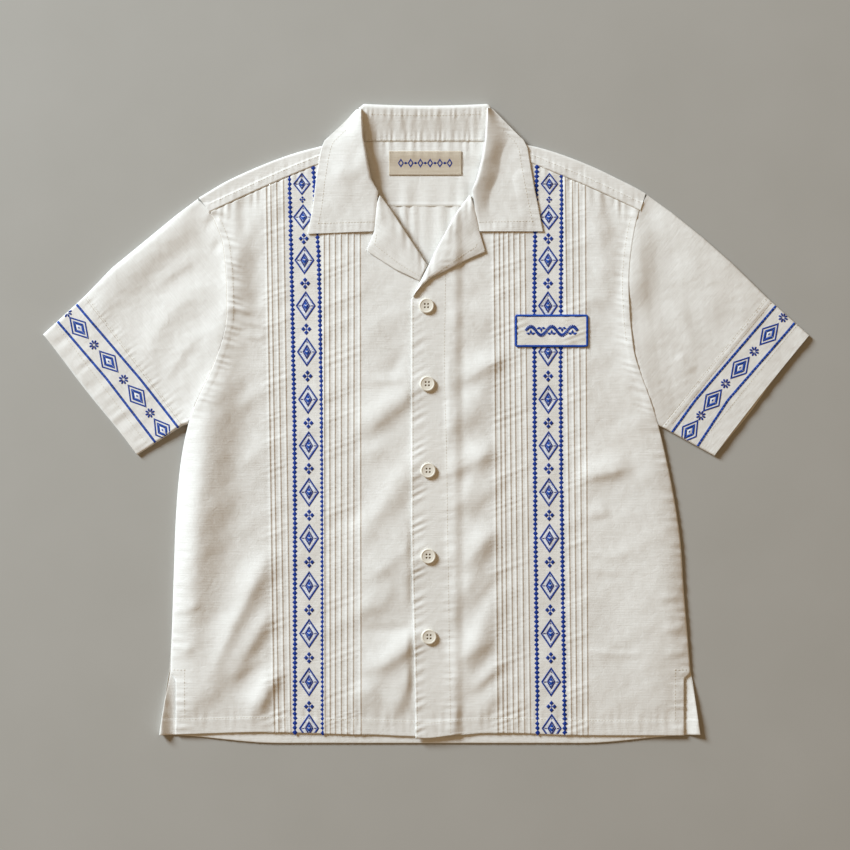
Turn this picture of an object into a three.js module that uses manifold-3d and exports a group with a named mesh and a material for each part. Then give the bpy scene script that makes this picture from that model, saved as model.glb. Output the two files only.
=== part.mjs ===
// A guayabera: a short-sleeved camp-collar shirt with pintucked fronts, buttoned up and laid flat
// on its back. Millimetres: +X to the viewer's right, +Y towards the collar, +Z up from the surface
// it lies on. Left and right are the viewer's. Each panel is a cloth wall with a plain underside.
import * as THREE from "three";
import { mergeVertices } from "three/addons/utils/BufferGeometryUtils.js";
import Module from "manifold-3d";

// ---- Driving dimensions ----
const CLOTH = 1.2; // wall of one layer
const SEAM = 0.3; // gap kept between two pieces
const LAYER = CLOTH + SEAM;
const BODY_LOFT = 2.4; // air between front and back
const SLEEVE_LOFT = 1.6; // air inside a sleeve
const SIDE_ROUND = 32; // how far in from the side seam the front rises to its loft
const TUCK_WIDTH = 2;
const TUCK_HEIGHT = 1.1;
const PLACKET_WIDTH = 39;
const HEM_DEPTH = 19;
const HEM_FOLD = 0.7; // the turned hem stands this much higher
const COLLAR_STAND = 42; // top fold to neck seam, at the back
const COLLAR_FALL = 50; // top fold to the hidden outer edge, at the back
const COLLAR_ROLL = 8.5; // height of the rolled edge over the front
const BUTTON_RADIUS = 8.9;
const BUTTON_HEIGHT = 3.2;
const HOLE_RADIUS = 0.9;
const HOLE_OFFSET = 1.8;

const rows = (names, list) =>
  list.map((row) => Object.fromEntries(names.split(" ").map((name, i) => [name, row[i]])));

// Armholes and side seams, from the yoke down to the vents.
const SIDE_LEFT = rows("x y", [
  [-252, 248], [-245, 233], [-238, 215], [-234, 190], [-232, 160], [-232, 124], [-236, 102],
  [-244, 77], [-254, 53], [-266, 28], [-274, 8], [-282, -22], [-287, -51], [-292, -110],
  [-294, -162], [-296, -223], [-298, -284],
]);
const SIDE_RIGHT = rows("x y", [
  [250, 250], [245, 232], [241, 210], [238, 185], [237, 161], [238, 134], [240, 109], [244, 80],
  [251, 58], [261, 31], [270, 4], [278, -27], [289, -79], [298, -139], [302, -199], [307, -258],
  [309, -286],
]);
const VENT = { left: -292, right: 302, top: -291, backLeft: -311, backRight: 321 };
const HEM = { left: -364, right: -365, placket: -368, back: -374.2, backCorner: -364 };

// Forward shoulder seams (yoke to front) and the shoulder folds above them.
const SHOULDER_SEAM_LEFT = rows("x y", [[-253, 246], [-192, 274], [-146, 294], [-110, 308]]);
const SHOULDER_SEAM_RIGHT = rows("x y", [[251, 248], [186, 278], [157, 290], [108, 310]]);
const SHOULDER_LEFT = rows("x y", [
  [-266, 263], [-256, 269], [-236, 281], [-195, 300], [-155, 315], [-118, 325], [-104, 329],
]);
const SHOULDER_RIGHT = rows("x y", [
  [258, 268], [246, 275], [226, 285], [197, 299], [159, 314], [133, 322], [115, 326], [102, 329],
]);
const BACK_YOKE_SEAM = 254;
const NECK_SEAM = 329;
const COLLAR_TOP = 371;

// Top edge of each front: shoulder seam, neck edge hidden by the collar, then the roll line.
const TOP_LEFT = rows("x y", [
  [-252, 247], [-192, 274], [-146, 294], [-112, 307], [-84, 300], [-62, 270], [-55, 262], [-41, 247],
  [-24, 221], [-8, 197], [2, 182], [24, 168],
]);
const TOP_RIGHT = rows("x y", [
  [250, 249], [186, 278], [157, 290], [110, 309], [84, 300], [60, 272], [52, 262], [38, 246],
  [18, 210], [3, 180], [-9, 158], [-16, 145],
]);

// Lapels: the roll line and the free edge, both from the gorge down.
const LAPEL_LEFT = {
  roll: rows("x y", [[-54, 265], [-41, 247], [-24, 221], [-8, 197], [1, 183]]),
  edge: rows("x y", [[-57, 256], [-60, 224], [-69, 202], [-66, 199], [-35, 179], [-7, 166]]),
};
const LAPEL_RIGHT = {
  roll: rows("x y", [[52, 265], [38, 246], [18, 210], [3, 180], [-9, 158], [-14, 149]]),
  edge: rows("x y", [[58, 250], [63, 223], [70, 200], [49, 191], [24, 178], [7, 170], [-11, 154]]),
};

// Collar leaves: outer edge and rolled inner edge, from the back neck to the points.
const LEAF_LEFT = {
  outer: rows("x y", [
    [-81, 366], [-97, 350], [-118, 330], [-121, 323], [-124, 310], [-128, 285], [-132, 251], [-138, 221],
  ]),
  roll: rows("x y", [
    [-75, 366], [-73, 333], [-69, 311], [-64, 285], [-56, 270], [-58, 250], [-59.5, 234], [-61, 224],
  ]),
};
const LEAF_RIGHT = {
  outer: rows("x y", [
    [78, 367], [97, 348], [114, 331], [119, 322], [123, 297], [126, 280], [130, 260], [137, 224],
  ]),
  roll: rows("x y", [
    [72, 367], [70, 333], [66, 308], [60, 285], [55, 272], [58, 251], [61, 234], [63.5, 224],
  ]),
};

// Sleeves: fold edge over the arm and cuff seam; cuff bands: seam, opening and fold edges.
const SLEEVE_TOP_LEFT = rows("x y", [
  [-266, 262.5], [-293, 242], [-327, 214], [-365, 183], [-398, 149],
]);
const SLEEVE_TOP_RIGHT = rows("x y", [
  [258, 267.5], [288, 246], [324, 217], [357, 188], [399, 147],
]);
const CUFF_LEFT = { top: [-399, 148], bottom: [-284, -3], tip: [-447, 104], heel: [-337, -37] };
const CUFF_RIGHT = { top: [400, 146], bottom: [277, -5], tip: [448, 103], heel: [337, -38] };

// Pintucks: place at the chest and at the hem.
const TUCKS_LEFT = rows("chest hem", [
  [-186, -177], [-181, -172], [-174, -165], [-166, -158], [-119, -118], [-113, -112], [-106, -106],
  [-99, -99], [-91, -92], [-84, -85], [-77, -76],
]);
const TUCKS_RIGHT = rows("chest hem", [
  [79, 84], [85, 90], [90, 95], [96, 102], [102, 108], [109, 115], [115, 122], [163, 170],
  [171, 176], [178, 183], [186, 189],
]);
const TUCK_CHEST_Y = 240;
const TUCK_HEM_Y = -364;

// Largest folds: crest from (x0, y0) to (x1, y1), half width and height; negative is a trough.
const BODY_FOLDS = rows("x0 y0 x1 y1 width height", [
  [-262, 30, -276, -330, 20, 2.6],
  [-208, 250, -200, 150, 11, -1.6],
  [-215, 60, -238, -190, 24, -1.4],
  [-176, -136, -250, -305, 17, 3.4],
  [-176, -215, -222, -285, 12, 2.4],
  [-178, -285, -200, -338, 12, 2.2],
  [-186, -40, -236, -90, 16, 1.6],
  [-16, 42, -74, 0, 14, 1.6],
  [-16, -52, -70, -124, 15, 2.4],
  [-18, -165, -72, -213, 14, 2.2],
  [-18, -255, -72, -315, 14, 2.4],
  [78, 62, 44, 8, 13, 1.5],
  [78, -28, 44, -90, 13, 1.8],
  [80, -120, 46, -196, 14, 2.2],
  [84, -205, 44, -298, 15, 2.5],
  [212, 252, 222, 150, 10, -1.6],
  [232, 150, 240, 60, 13, 1.6],
  [200, -55, 262, -60, 20, 1.2],
  [240, -120, 262, -300, 26, 1.4],
]);
const SLEEVE_FOLDS = rows("x0 y0 x1 y1 width height", [
  [-285, 222, -372, 142, 16, 2],
  [-262, 150, -318, 88, 16, 1.6],
  [-250, 100, -284, 50, 14, 1.2],
  [-268, 245, -242, 175, 9, -1],
  [262, 240, 266, 130, 13, -1.2],
  [292, 205, 372, 132, 18, 1.9],
  [262, 120, 300, 52, 15, 1.5],
]);

const IVORY = 0xe4e2dc;
const BUTTON_COLOUR = 0xe6dfd0;

// ---- Tools for curves, relief and walls ----
const mix = (a, b, t) => a + (b - a) * t;
const clamp = (t) => Math.min(1, Math.max(0, t));
const ease = (t) => clamp(t) ** 2 * (3 - 2 * clamp(t));

// Value of column `out` where column `by` is `at`, held at the ends of the table.
function read(table, by, out, at) {
  const rising = table[table.length - 1][by] > table[0][by];
  const list = rising ? table : [...table].reverse();
  const i = Math.max(1, list.findIndex((row) => row[by] >= at));
  const end = list.findIndex((row) => row[by] >= at) < 0 ? list.length - 1 : i;
  const t = clamp((at - list[end - 1][by]) / (list[end][by] - list[end - 1][by]));
  return mix(list[end - 1][out], list[end][out], t);
}

// Point at share t of a table's length.
function pointAlong(table, t) {
  const steps = table.slice(1).map((row, i) => Math.hypot(row.x - table[i].x, row.y - table[i].y));
  let left = clamp(t) * steps.reduce((sum, step) => sum + step, 0);
  let i = 0;
  while (i < steps.length - 1 && left > steps[i]) {
    left -= steps[i];
    i += 1;
  }
  const share = clamp(left / steps[i]);
  return [mix(table[i].x, table[i + 1].x, share), mix(table[i].y, table[i + 1].y, share)];
}

const along = (a, b, t) => [mix(a[0], b[0], t), mix(a[1], b[1], t)];

// Sum of soft ridges, each fading out at its ends.
function foldHeight(folds, x, y) {
  return folds.reduce((sum, { x0, y0, x1, y1, width, height }) => {
    const length = Math.hypot(x1 - x0, y1 - y0);
    const t = ((x - x0) * (x1 - x0) + (y - y0) * (y1 - y0)) / length ** 2;
    const across = ((x - x0) * (y1 - y0) - (y - y0) * (x1 - x0)) / length;
    const past = (Math.max(0, -t, t - 1) * length) / (1.4 * width);
    return sum + height * Math.exp(-((across / width) ** 2) - past ** 2);
  }, 0);
}

// Underside of the fronts over the back.
function frontUnder(x, y) {
  const side = x < 0 ? x - read(SIDE_LEFT, "y", "x", y) : read(SIDE_RIGHT, "y", "x", y) - x;
  const armhole = ease((y + 60) / 90);
  const reach = clamp(side / SIDE_ROUND);
  const rise = mix(Math.sqrt(1 - (1 - reach) ** 2), 1, armhole);
  const hem = mix(0.45, 1, ease((y + 364) / 45));
  const neck = 3 * Math.exp(-((x / 75) ** 2) - ((y - 235) / 60) ** 2);
  const loft = BODY_LOFT + foldHeight(BODY_FOLDS, x, y) + neck;
  return LAYER + Math.max(0.1, rise * hem * loft);
}

// The turned hem of a front stands a little higher.
const hemFold = (y) => HEM_FOLD * ease((HEM.left + HEM_DEPTH - y) / 3);

// The right front lies over the left one behind the placket.
const OVERLAP_LIFT = LAYER + 0.8;
const rightUnder = (x, y) =>
  frontUnder(x, y) + (OVERLAP_LIFT + hemFold(y)) * ease((PLACKET_WIDTH + 6 - x) / 12);

const frontTop = (x, y) => (x > -17 ? rightUnder(x, y) : frontUnder(x, y)) + CLOTH;

function sleeveUnder(x, y) {
  return LAYER + Math.max(0.1, SLEEVE_LOFT + foldHeight(SLEEVE_FOLDS, x, y));
}

const ivory = new THREE.MeshStandardMaterial({ color: IVORY, roughness: 0.9, metalness: 0 });
const parts = new THREE.Group();

function addMesh(name, positions, index, material = ivory) {
  const geometry = new THREE.BufferGeometry();
  geometry.setAttribute("position", new THREE.Float32BufferAttribute(positions.flat(), 3));
  geometry.setIndex(index);
  geometry.computeVertexNormals();
  const mesh = new THREE.Mesh(geometry, material);
  mesh.name = name;
  return mesh;
}

// Triangles between two rows of vertex numbers that may differ in count.
function zip(a, b) {
  const faces = [];
  let i = 0;
  let j = 0;
  while (i < a.length - 1 || j < b.length - 1) {
    const next = (i + 1) / (a.length - 1) <= (j + 1) / (b.length - 1);
    if (j === b.length - 1 || (i < a.length - 1 && next)) {
      faces.push(a[i], a[i + 1], b[j]);
      i += 1;
    } else {
      faces.push(a[i], b[j + 1], b[j]);
      j += 1;
    }
  }
  return faces;
}

// The same triangles, turned over where they would enclose a negative volume.
function turnedOut(points, faces) {
  let volume = 0;
  const [a, b, c] = [new THREE.Vector3(), new THREE.Vector3(), new THREE.Vector3()];
  for (let i = 0; i < faces.length; i += 3) {
    a.fromArray(points[faces[i]]);
    b.fromArray(points[faces[i + 1]]);
    c.fromArray(points[faces[i + 2]]);
    volume += a.dot(b.cross(c));
  }
  return volume < 0 ? [...faces].reverse() : faces;
}

// A closed wall between an outer and an inner grid of points with as many rows each. Rows run
// down the piece; the outer face is the one from which rows go down and columns go right.
function wall(outer, inner, closed = false) {
  const points = [...outer.flat(), ...inner.flat()];
  const start = outer.flat().length;
  const number = (grid, base) =>
    grid.map((row, r) => {
      const ids = row.map((_, c) => base + r * row.length + c);
      return closed ? [...ids, ids[0]] : ids;
    });
  const out = number(outer, 0);
  const inside = number(inner, start);
  const faces = [];
  const last = out.length - 1;
  for (let r = 0; r < last; r += 1) {
    faces.push(...zip(out[r + 1], out[r]), ...zip(inside[r], inside[r + 1]));
  }
  faces.push(...zip(out[0], inside[0]), ...zip(inside[last], out[last]));
  if (!closed) {
    const column = (grid, c) => grid.map((row) => row.at(c));
    faces.push(...zip(column(inside, 0), column(out, 0)));
    faces.push(...zip(column(out, -1), column(inside, -1)));
  }
  return { points, faces: turnedOut(points, faces) };
}

// A flat-lying panel from plan points [x, y] in rows, with heights for its two faces.
function panel(plan, under, top) {
  const lift = (height) => plan.map((row) => row.map(([x, y]) => [x, y, height(x, y)]));
  return wall(lift(top), lift(under));
}

// A section of cloth folded over an edge: the lower layer runs from `low` to `fold`, goes round it
// and returns above as far as `high`. Returns its outer and inner lines.
const ROUND_STEPS = 4;
function foldedSection({ low, fold, high, lowUnder, highUnder, steps }) {
  const lowZ = lowUnder(...fold);
  const highZ = highUnder(...fold) + CLOTH;
  const half = (highZ - lowZ) / 2;
  const length = Math.hypot(fold[0] - high[0], fold[1] - high[1]);
  const out = [(fold[0] - high[0]) / length, (fold[1] - high[1]) / length];
  const centre = [fold[0] - out[0] * half, fold[1] - out[1] * half];
  const outer = [];
  const inner = [];
  for (let i = 0; i <= steps; i += 1) {
    const [x, y] = along(low, centre, i / steps);
    const z = mix(lowUnder(x, y), lowZ, i / steps);
    outer.push([x, y, z]);
    inner.push([x, y, z + CLOTH]);
  }
  for (let i = 1; i < ROUND_STEPS; i += 1) {
    const angle = (i / ROUND_STEPS - 0.5) * Math.PI;
    const ring = (radius) => [
      centre[0] + out[0] * radius * Math.cos(angle),
      centre[1] + out[1] * radius * Math.cos(angle),
      lowZ + half + radius * Math.sin(angle),
    ];
    outer.push(ring(half));
    inner.push(ring(half - CLOTH));
  }
  for (let i = 0; i <= steps; i += 1) {
    const [x, y] = along(centre, high, i / steps);
    outer.push([x, y, highUnder(x, y) + CLOTH]);
    inner.push([x, y, highUnder(x, y)]);
  }
  return { outer, inner };
}

const range = (count, from = 0, to = 1) =>
  Array.from({ length: count + 1 }, (_, i) => mix(from, to, i / count));

const wasm = await Module();
wasm.setup();
const JOIN = 1e-3; // vertices nearer than this are one

// A solid of a closed geometry, whose vertices are joined where they meet.
function manifoldOf(geometry) {
  const merged = mergeVertices(geometry, JOIN);
  return new wasm.Manifold(
    new wasm.Mesh({
      numProp: 3,
      vertProperties: merged.attributes.position.array,
      triVerts: new Uint32Array(merged.index.array),
    }),
  );
}

function solidOf({ points, faces }) {
  const geometry = new THREE.BufferGeometry();
  geometry.setAttribute("position", new THREE.Float32BufferAttribute(points.flat(), 3));
  geometry.setIndex(faces);
  return manifoldOf(geometry);
}

function meshOf(name, solid, material) {
  const { vertProperties, triVerts } = solid.getMesh();
  const geometry = new THREE.BufferGeometry();
  geometry.setAttribute("position", new THREE.BufferAttribute(vertProperties, 3));
  geometry.setIndex(new THREE.BufferAttribute(triVerts, 1));
  geometry.computeVertexNormals();
  const mesh = new THREE.Mesh(geometry, material);
  mesh.name = name;
  return mesh;
}

const add = (name, { points, faces }, material) =>
  parts.add(addMesh(name, points, faces, material));

// ---- Back: one panel, flat on the surface, hemmed and vented ----
{
  const sideAt = (side, y) => {
    const [table, vent] = side < 0 ? [SIDE_LEFT, VENT.backLeft] : [SIDE_RIGHT, VENT.backRight];
    if (y >= VENT.top) return read(table, "y", "x", y);
    const share = (VENT.top - y) / (VENT.top - HEM.backCorner);
    return mix(read(table, "y", "x", VENT.top), vent, share ** 0.8);
  };
  const hemAt = (u) => mix(HEM.backCorner, HEM.back, ease(Math.min(u, 1 - u) / 0.22));
  const seamY = BACK_YOKE_SEAM - SEAM;
  const columns = range(16);
  const plan = range(14).map((v) =>
    columns.map((u) => {
      const y = mix(seamY, hemAt(u), v);
      const flat = mix(seamY, HEM.backCorner, v);
      return [mix(sideAt(-1, flat), sideAt(1, flat), u), y];
    }),
  );
  add("back", panel(plan, () => 0, () => CLOTH));
}

// ---- Yoke: lies under the neck, folds over both shoulders and ends at the forward seams ----
{
  // Lifted at the neck, where the collar's fall lies under it.
  const lowUnder = (x, y) => LAYER * ease((y - 298) / 16) * ease((128 - Math.abs(x)) / 10);
  const shoulder = (fold, seam, side) => {
    const sections = range(10).map((t) => {
      const x = mix(fold[0].x - side, fold[fold.length - 1].x, t);
      const seamX = mix(seam[0].x - side * 0.5, seam[seam.length - 1].x, t);
      return foldedSection({
        low: [x - side * 8 * (1 - t), BACK_YOKE_SEAM],
        fold: [x, read(fold, "x", "y", x)],
        high: [seamX, read(seam, "x", "y", seamX) + SEAM],
        lowUnder,
        highUnder: frontUnder,
        steps: 3,
      });
    });
    return solidOf(wall(sections.map((s) => s.outer), sections.map((s) => s.inner)));
  };
  const inner = 107;
  const plan = range(5).map((v) =>
    range(8, -inner, inner).map((x) => [x, mix(NECK_SEAM, BACK_YOKE_SEAM, v)]),
  );
  const slab = solidOf(panel(plan, lowUnder, (x, y) => lowUnder(x, y) + CLOTH));
  const left = shoulder(SHOULDER_LEFT, SHOULDER_SEAM_LEFT, -1);
  const right = shoulder(SHOULDER_RIGHT, SHOULDER_SEAM_RIGHT, 1);
  parts.add(meshOf("yoke", slab.add(left).add(right), ivory));
}

// ---- Fronts: pintucked panels; the right one buttons over the left ----
const FRONT_ROWS = 17;
const OUTER_COLUMNS = 7;
const CENTRE_COLUMNS = 5;
const BAND_COLUMNS = 3;
const BAND_GAP = 12; // tucks farther apart than this leave room for a band

// Lines down one front from its side to its centre edge: each gives x at a height y, and the
// raise of the outer face there.
function frontLines(side, tucks, centreX) {
  const tuckX = (tuck, y) =>
    mix(tuck.hem, tuck.chest, (y - TUCK_HEM_Y) / (TUCK_CHEST_Y - TUCK_HEM_Y));
  const between = (a, b, count, skipFirst) =>
    range(count)
      .slice(skipFirst ? 1 : 0, -1)
      .map((t) => ({ x: (y) => mix(a(y), b(y), t), raise: 0 }));
  const order = Math.sign(centreX(0) - side(0));
  const half = (TUCK_WIDTH / 2) * order;
  const ordered = order > 0 ? tucks : [...tucks].reverse();
  const lines = between(side, (y) => tuckX(ordered[0], y) - half, OUTER_COLUMNS, false);
  ordered.forEach((tuck, i) => {
    const at = (offset) => (y) => tuckX(tuck, y) + offset;
    const wide = i > 0 && Math.abs(tuck.hem - ordered[i - 1].hem) > BAND_GAP;
    if (wide) {
      const before = (y) => tuckX(ordered[i - 1], y) + half;
      lines.push(...between(before, at(-half), BAND_COLUMNS, true));
    }
    lines.push({ x: at(-half), raise: 0 }, { x: at(0), raise: TUCK_HEIGHT });
    lines.push({ x: at(half), raise: 0 });
  });
  const lastTuck = (y) => tuckX(ordered[ordered.length - 1], y) + half;
  lines.push(...between(lastTuck, centreX, CENTRE_COLUMNS, true), { x: centreX, raise: 0 });
  return lines;
}

function addFront(name, { side, top, hem, tucks, centreX, under }) {
  const lines = frontLines(side, tucks, centreX);
  const last = lines.length - 1;
  const plainLines = lines.filter((line, i) => line.raise === 0 && (i % 3 === 0 || i === last));
  const place = (line, v) => {
    let y = 0;
    for (let pass = 0; pass < 8; pass += 1) y = read(top, "x", "y", line.x(y)) - SEAM;
    const down = mix(y, hem(line.x(TUCK_HEM_Y)), v);
    return [line.x(down), down];
  };
  const grid = (list, z) =>
    range(FRONT_ROWS).map((v) =>
      list.map((line) => {
        const [x, y] = place(line, v);
        return [x, y, z(x, y, line.raise)];
      }),
    );
  const outer = grid(lines, (x, y, raise) => under(x, y) + CLOTH + raise + hemFold(y));
  const inner = grid(plainLines, (x, y) => under(x, y));
  add(name, wall(outer, inner));
}

const sideOrVent = (table, vent) => (y) => {
  const x = read(table, "y", "x", y);
  return y > VENT.top ? x : mix(x, vent, ease((VENT.top - y) / 6));
};

addFront("front_left", {
  side: sideOrVent(SIDE_LEFT, VENT.left),
  top: TOP_LEFT,
  hem: (x) => HEM.left + 3 * Math.exp(-(((x + 190) / 70) ** 2)) - 2 * ease((x + 70) / 60),
  tucks: TUCKS_LEFT,
  centreX: () => PLACKET_WIDTH - 16,
  under: frontUnder,
});
addFront("front_right", {
  side: sideOrVent(SIDE_RIGHT, VENT.right),
  top: TOP_RIGHT,
  hem: (x) => mix(HEM.placket, HEM.right, ease(x / 40)) + 3 * Math.exp(-(((x - 90) / 60) ** 2)),
  tucks: TUCKS_RIGHT,
  centreX: (y) => -17 + 5 * ease((-y - 100) / 268),
  under: rightUnder,
});

// ---- Lapels: facings turned back at the roll lines ----
const LAPEL_CROWN = 2.4;
function addLapel(name, { roll, edge }, side) {
  const under = (x, y, v) =>
    frontTop(x, y) + SEAM + LAPEL_CROWN * Math.sin(Math.PI * clamp(v)) ** 0.7;
  const grid = (raise) =>
    range(10).map((u) =>
      range(5).map((v) => {
        const share = side < 0 ? 1 - v : v;
        const [x, y] = along(pointAlong(roll, u), pointAlong(edge, u), share);
        return [x, y, under(x, y, share * 0.9) + TUCK_HEIGHT * share + raise];
      }),
    );
  add(name, wall(grid(CLOTH), grid(0)));
}
addLapel("lapel_left", LAPEL_LEFT, -1);
addLapel("lapel_right", LAPEL_RIGHT, 1);

// ---- Collar: leaves over the fronts, stand inside the neck and fall hidden behind it ----
const ROLL_TURN = 2.88; // how far the rolled edge of a leaf turns down
const ROLL_START = 0.88; // share of the leaf's width where it starts to
const BACK_CORNER = 77; // x of the back's end, where the top fold turns down to the shoulder
{
  const leafTop = (x, y) => frontTop(x, y) + TUCK_HEIGHT + SEAM;
  const leaf = ({ outer, roll }, side) => {
    const grid = (raise) =>
      range(14).map((u) =>
        range(7).map((v) => {
          const share = side < 0 ? v : 1 - v;
          const [x, y] = along(pointAlong(outer, u), pointAlong(roll, u), share);
          const flatter = mix(1, 0.25, ease((u - 0.45) / 0.5)); // towards the collar's point
          const height = COLLAR_ROLL * Math.sin((Math.PI / 2) * share ** 1.5) * flatter;
          const turned = ROLL_TURN * Math.max(0, (share - ROLL_START) / (1 - ROLL_START));
          return [x, y, leafTop(x, y) + height - turned + raise];
        }),
      );
    return solidOf(wall(grid(CLOTH), grid(0)));
  };
  const topUnder = (x, y) => mix(LAYER + 0.2, 9, ease((y - NECK_SEAM) / COLLAR_STAND));
  const backSections = range(8, -BACK_CORNER, BACK_CORNER - 3).map((x) =>
    foldedSection({
      low: [x, COLLAR_TOP - COLLAR_FALL],
      fold: [x, COLLAR_TOP + 2 * Math.abs(x / 75) ** 2],
      high: [x, NECK_SEAM + SEAM],
      lowUnder: () => 0,
      highUnder: topUnder,
      steps: 4,
    }),
  );
  const back = solidOf(wall(backSections.map((s) => s.outer), backSections.map((s) => s.inner)));
  const diagonal = ({ outer }, side) => {
    const sections = range(4).map((t) => {
      const x = side * mix(BACK_CORNER, 116, t);
      const fold = [x, read(outer, "x", "y", x)];
      const [lowReach, highReach] = [12, 10]; // plies behind and before the diagonal fold
      return foldedSection({
        low: [x - side * lowReach, fold[1] - lowReach],
        fold,
        high: [x - side * highReach, fold[1] - highReach],
        lowUnder: () => 0,
        highUnder: (px, py) => leafTop(px, py) + SEAM + 0.1,
        steps: 3,
      });
    });
    return solidOf(wall(sections.map((s) => s.outer), sections.map((s) => s.inner)));
  };
  const leaves = [leaf(LEAF_LEFT, -1), leaf(LEAF_RIGHT, 1)];
  const diagonals = [diagonal(LEAF_LEFT, -1), diagonal(LEAF_RIGHT, 1)];
  const solid = [...leaves, ...diagonals].reduce((sum, piece) => sum.add(piece), back);
  parts.add(meshOf("collar", solid, ivory));
}

// ---- Sleeves and cuffs: flattened tubes ----
// One closed loop round a tube lying flat: plan points from its under-arm fold to its top fold.
function flatLoop(line, highUnder) {
  const first = line[0];
  const last = line[line.length - 1];
  const middle = line.slice(1, -1);
  const under = highUnder(...first);
  const turn = (from, to, z) => {
    const half = (z + CLOTH) / 2;
    const length = Math.hypot(from[0] - to[0], from[1] - to[1]);
    const out = [(from[0] - to[0]) / length, (from[1] - to[1]) / length];
    return (radius) =>
      [-0.5, -0.17, 0.17, 0.5].map((share) => [
        from[0] + out[0] * (radius * Math.cos(share * Math.PI) - half),
        from[1] + out[1] * (radius * Math.cos(share * Math.PI) - half),
        half + radius * Math.sin(share * Math.PI),
      ]);
  };
  const lastUnder = highUnder(...last);
  const ends = [turn(first, middle[0], under), turn(last, middle[middle.length - 1], lastUnder)];
  const halves = [(under + CLOTH) / 2, (lastUnder + CLOTH) / 2];
  const loop = (inset) => [
    ...middle.map(([x, y]) => [x, y, inset]),
    ...ends[1](halves[1] - inset),
    ...[...middle].reverse().map(([x, y]) => [x, y, highUnder(x, y) + CLOTH - inset]),
    ...[...ends[0](halves[0] - inset)].reverse(),
  ];
  return { outer: loop(0), inner: loop(CLOTH) };
}

function addTube(name, lines, highUnder) {
  const loops = lines.map((line) => flatLoop(line, highUnder));
  add(name, wall(loops.map((loop) => loop.outer), loops.map((loop) => loop.inner), true));
}

const SLEEVE_ACROSS = 11;
function addSleeve(name, sideTable, topEdge, cuff, side) {
  const low = along(cuff.bottom, cuff.top, 0.05);
  const armhole = rows("x y", [
    [low[0] - side * 6, low[1] + 4],
    ...sideTable.filter(({ y }) => y > low[1] + 12).reverse().map(({ x, y }) => [x + 1.6 * side, y]),
    [topEdge[0].x, topEdge[0].y],
  ]);
  const lines = range(9).map((s) =>
    range(SLEEVE_ACROSS).map((w) => {
      const seam = along(low, cuff.top, w);
      const arm = pointAlong(armhole, w);
      const straight = along(arm, seam, s);
      const bow = pointAlong(topEdge, s);
      const chord = along([topEdge[0].x, topEdge[0].y], cuff.top, s);
      return [straight[0] + (bow[0] - chord[0]) * w, straight[1] + (bow[1] - chord[1]) * w];
    }),
  );
  addTube(name, lines, sleeveUnder);
}

function addCuff(name, { top, bottom, tip, heel }, side) {
  const seamGap = 0.45;
  const lines = range(4).map((s) =>
    range(SLEEVE_ACROSS).map((w) => {
      const seam = along(bottom, top, w);
      const open = along(heel, tip, w);
      const sag = -3 * Math.sin(Math.PI * w) * s;
      const [x, y] = along(seam, open, s);
      return [x + side * (seamGap * (1 - s) + sag), y];
    }),
  );
  addTube(name, lines, (x, y) => sleeveUnder(x, y) + SEAM);
}
addSleeve("sleeve_left", SIDE_LEFT, SLEEVE_TOP_LEFT, CUFF_LEFT, -1);
addSleeve("sleeve_right", SIDE_RIGHT, SLEEVE_TOP_RIGHT, CUFF_RIGHT, 1);
addCuff("cuff_left", CUFF_LEFT, -1);
addCuff("cuff_right", CUFF_RIGHT, 1);

// ---- Neck label: a woven rectangle on the inside of the yoke ----
const LABEL = { x0: -43, x1: 42, y0: 290, y1: 318, thick: 1 };
{
  const base = (x, y) => LAYER * ease((y - 298) / 16) + CLOTH + SEAM;
  const plan = range(4).map((v) =>
    range(4, LABEL.x0, LABEL.x1).map((x) => [x, mix(LABEL.y1, LABEL.y0, v)]),
  );
  add("neck_label", panel(plan, base, (x, y) => base(x, y) + LABEL.thick));
}

// ---- Chest patch: a flat badge with a raised merrowed border, over the right pintucks ----
const PATCH = { x0: 104.5, x1: 189.5, y0: 89, y1: 126.5, thick: 1.2, border: 2.2, raise: 0.6 };
{
  const base = (x, y) => frontTop(x, y) + TUCK_HEIGHT + SEAM;
  // Places from one edge to the other, with close ones for the step inside each border.
  const bordered = (from, to, count) => {
    const step = Math.sign(to - from) * PATCH.border;
    const inside = range(count, from + step * 1.3, to - step * 1.3);
    return [from, from + step, ...inside, to - step, to];
  };
  const plan = bordered(PATCH.y1, PATCH.y0, 4).map((y) =>
    bordered(PATCH.x0, PATCH.x1, 8).map((x) => [x, y]),
  );
  const edge = (x, y) => Math.min(x - PATCH.x0, PATCH.x1 - x, y - PATCH.y0, PATCH.y1 - y);
  const top = (x, y) => base(x, y) + PATCH.thick + (edge(x, y) < PATCH.border * 1.1 ? PATCH.raise : 0);
  add("chest_patch", panel(plan, base, top));
}

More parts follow.
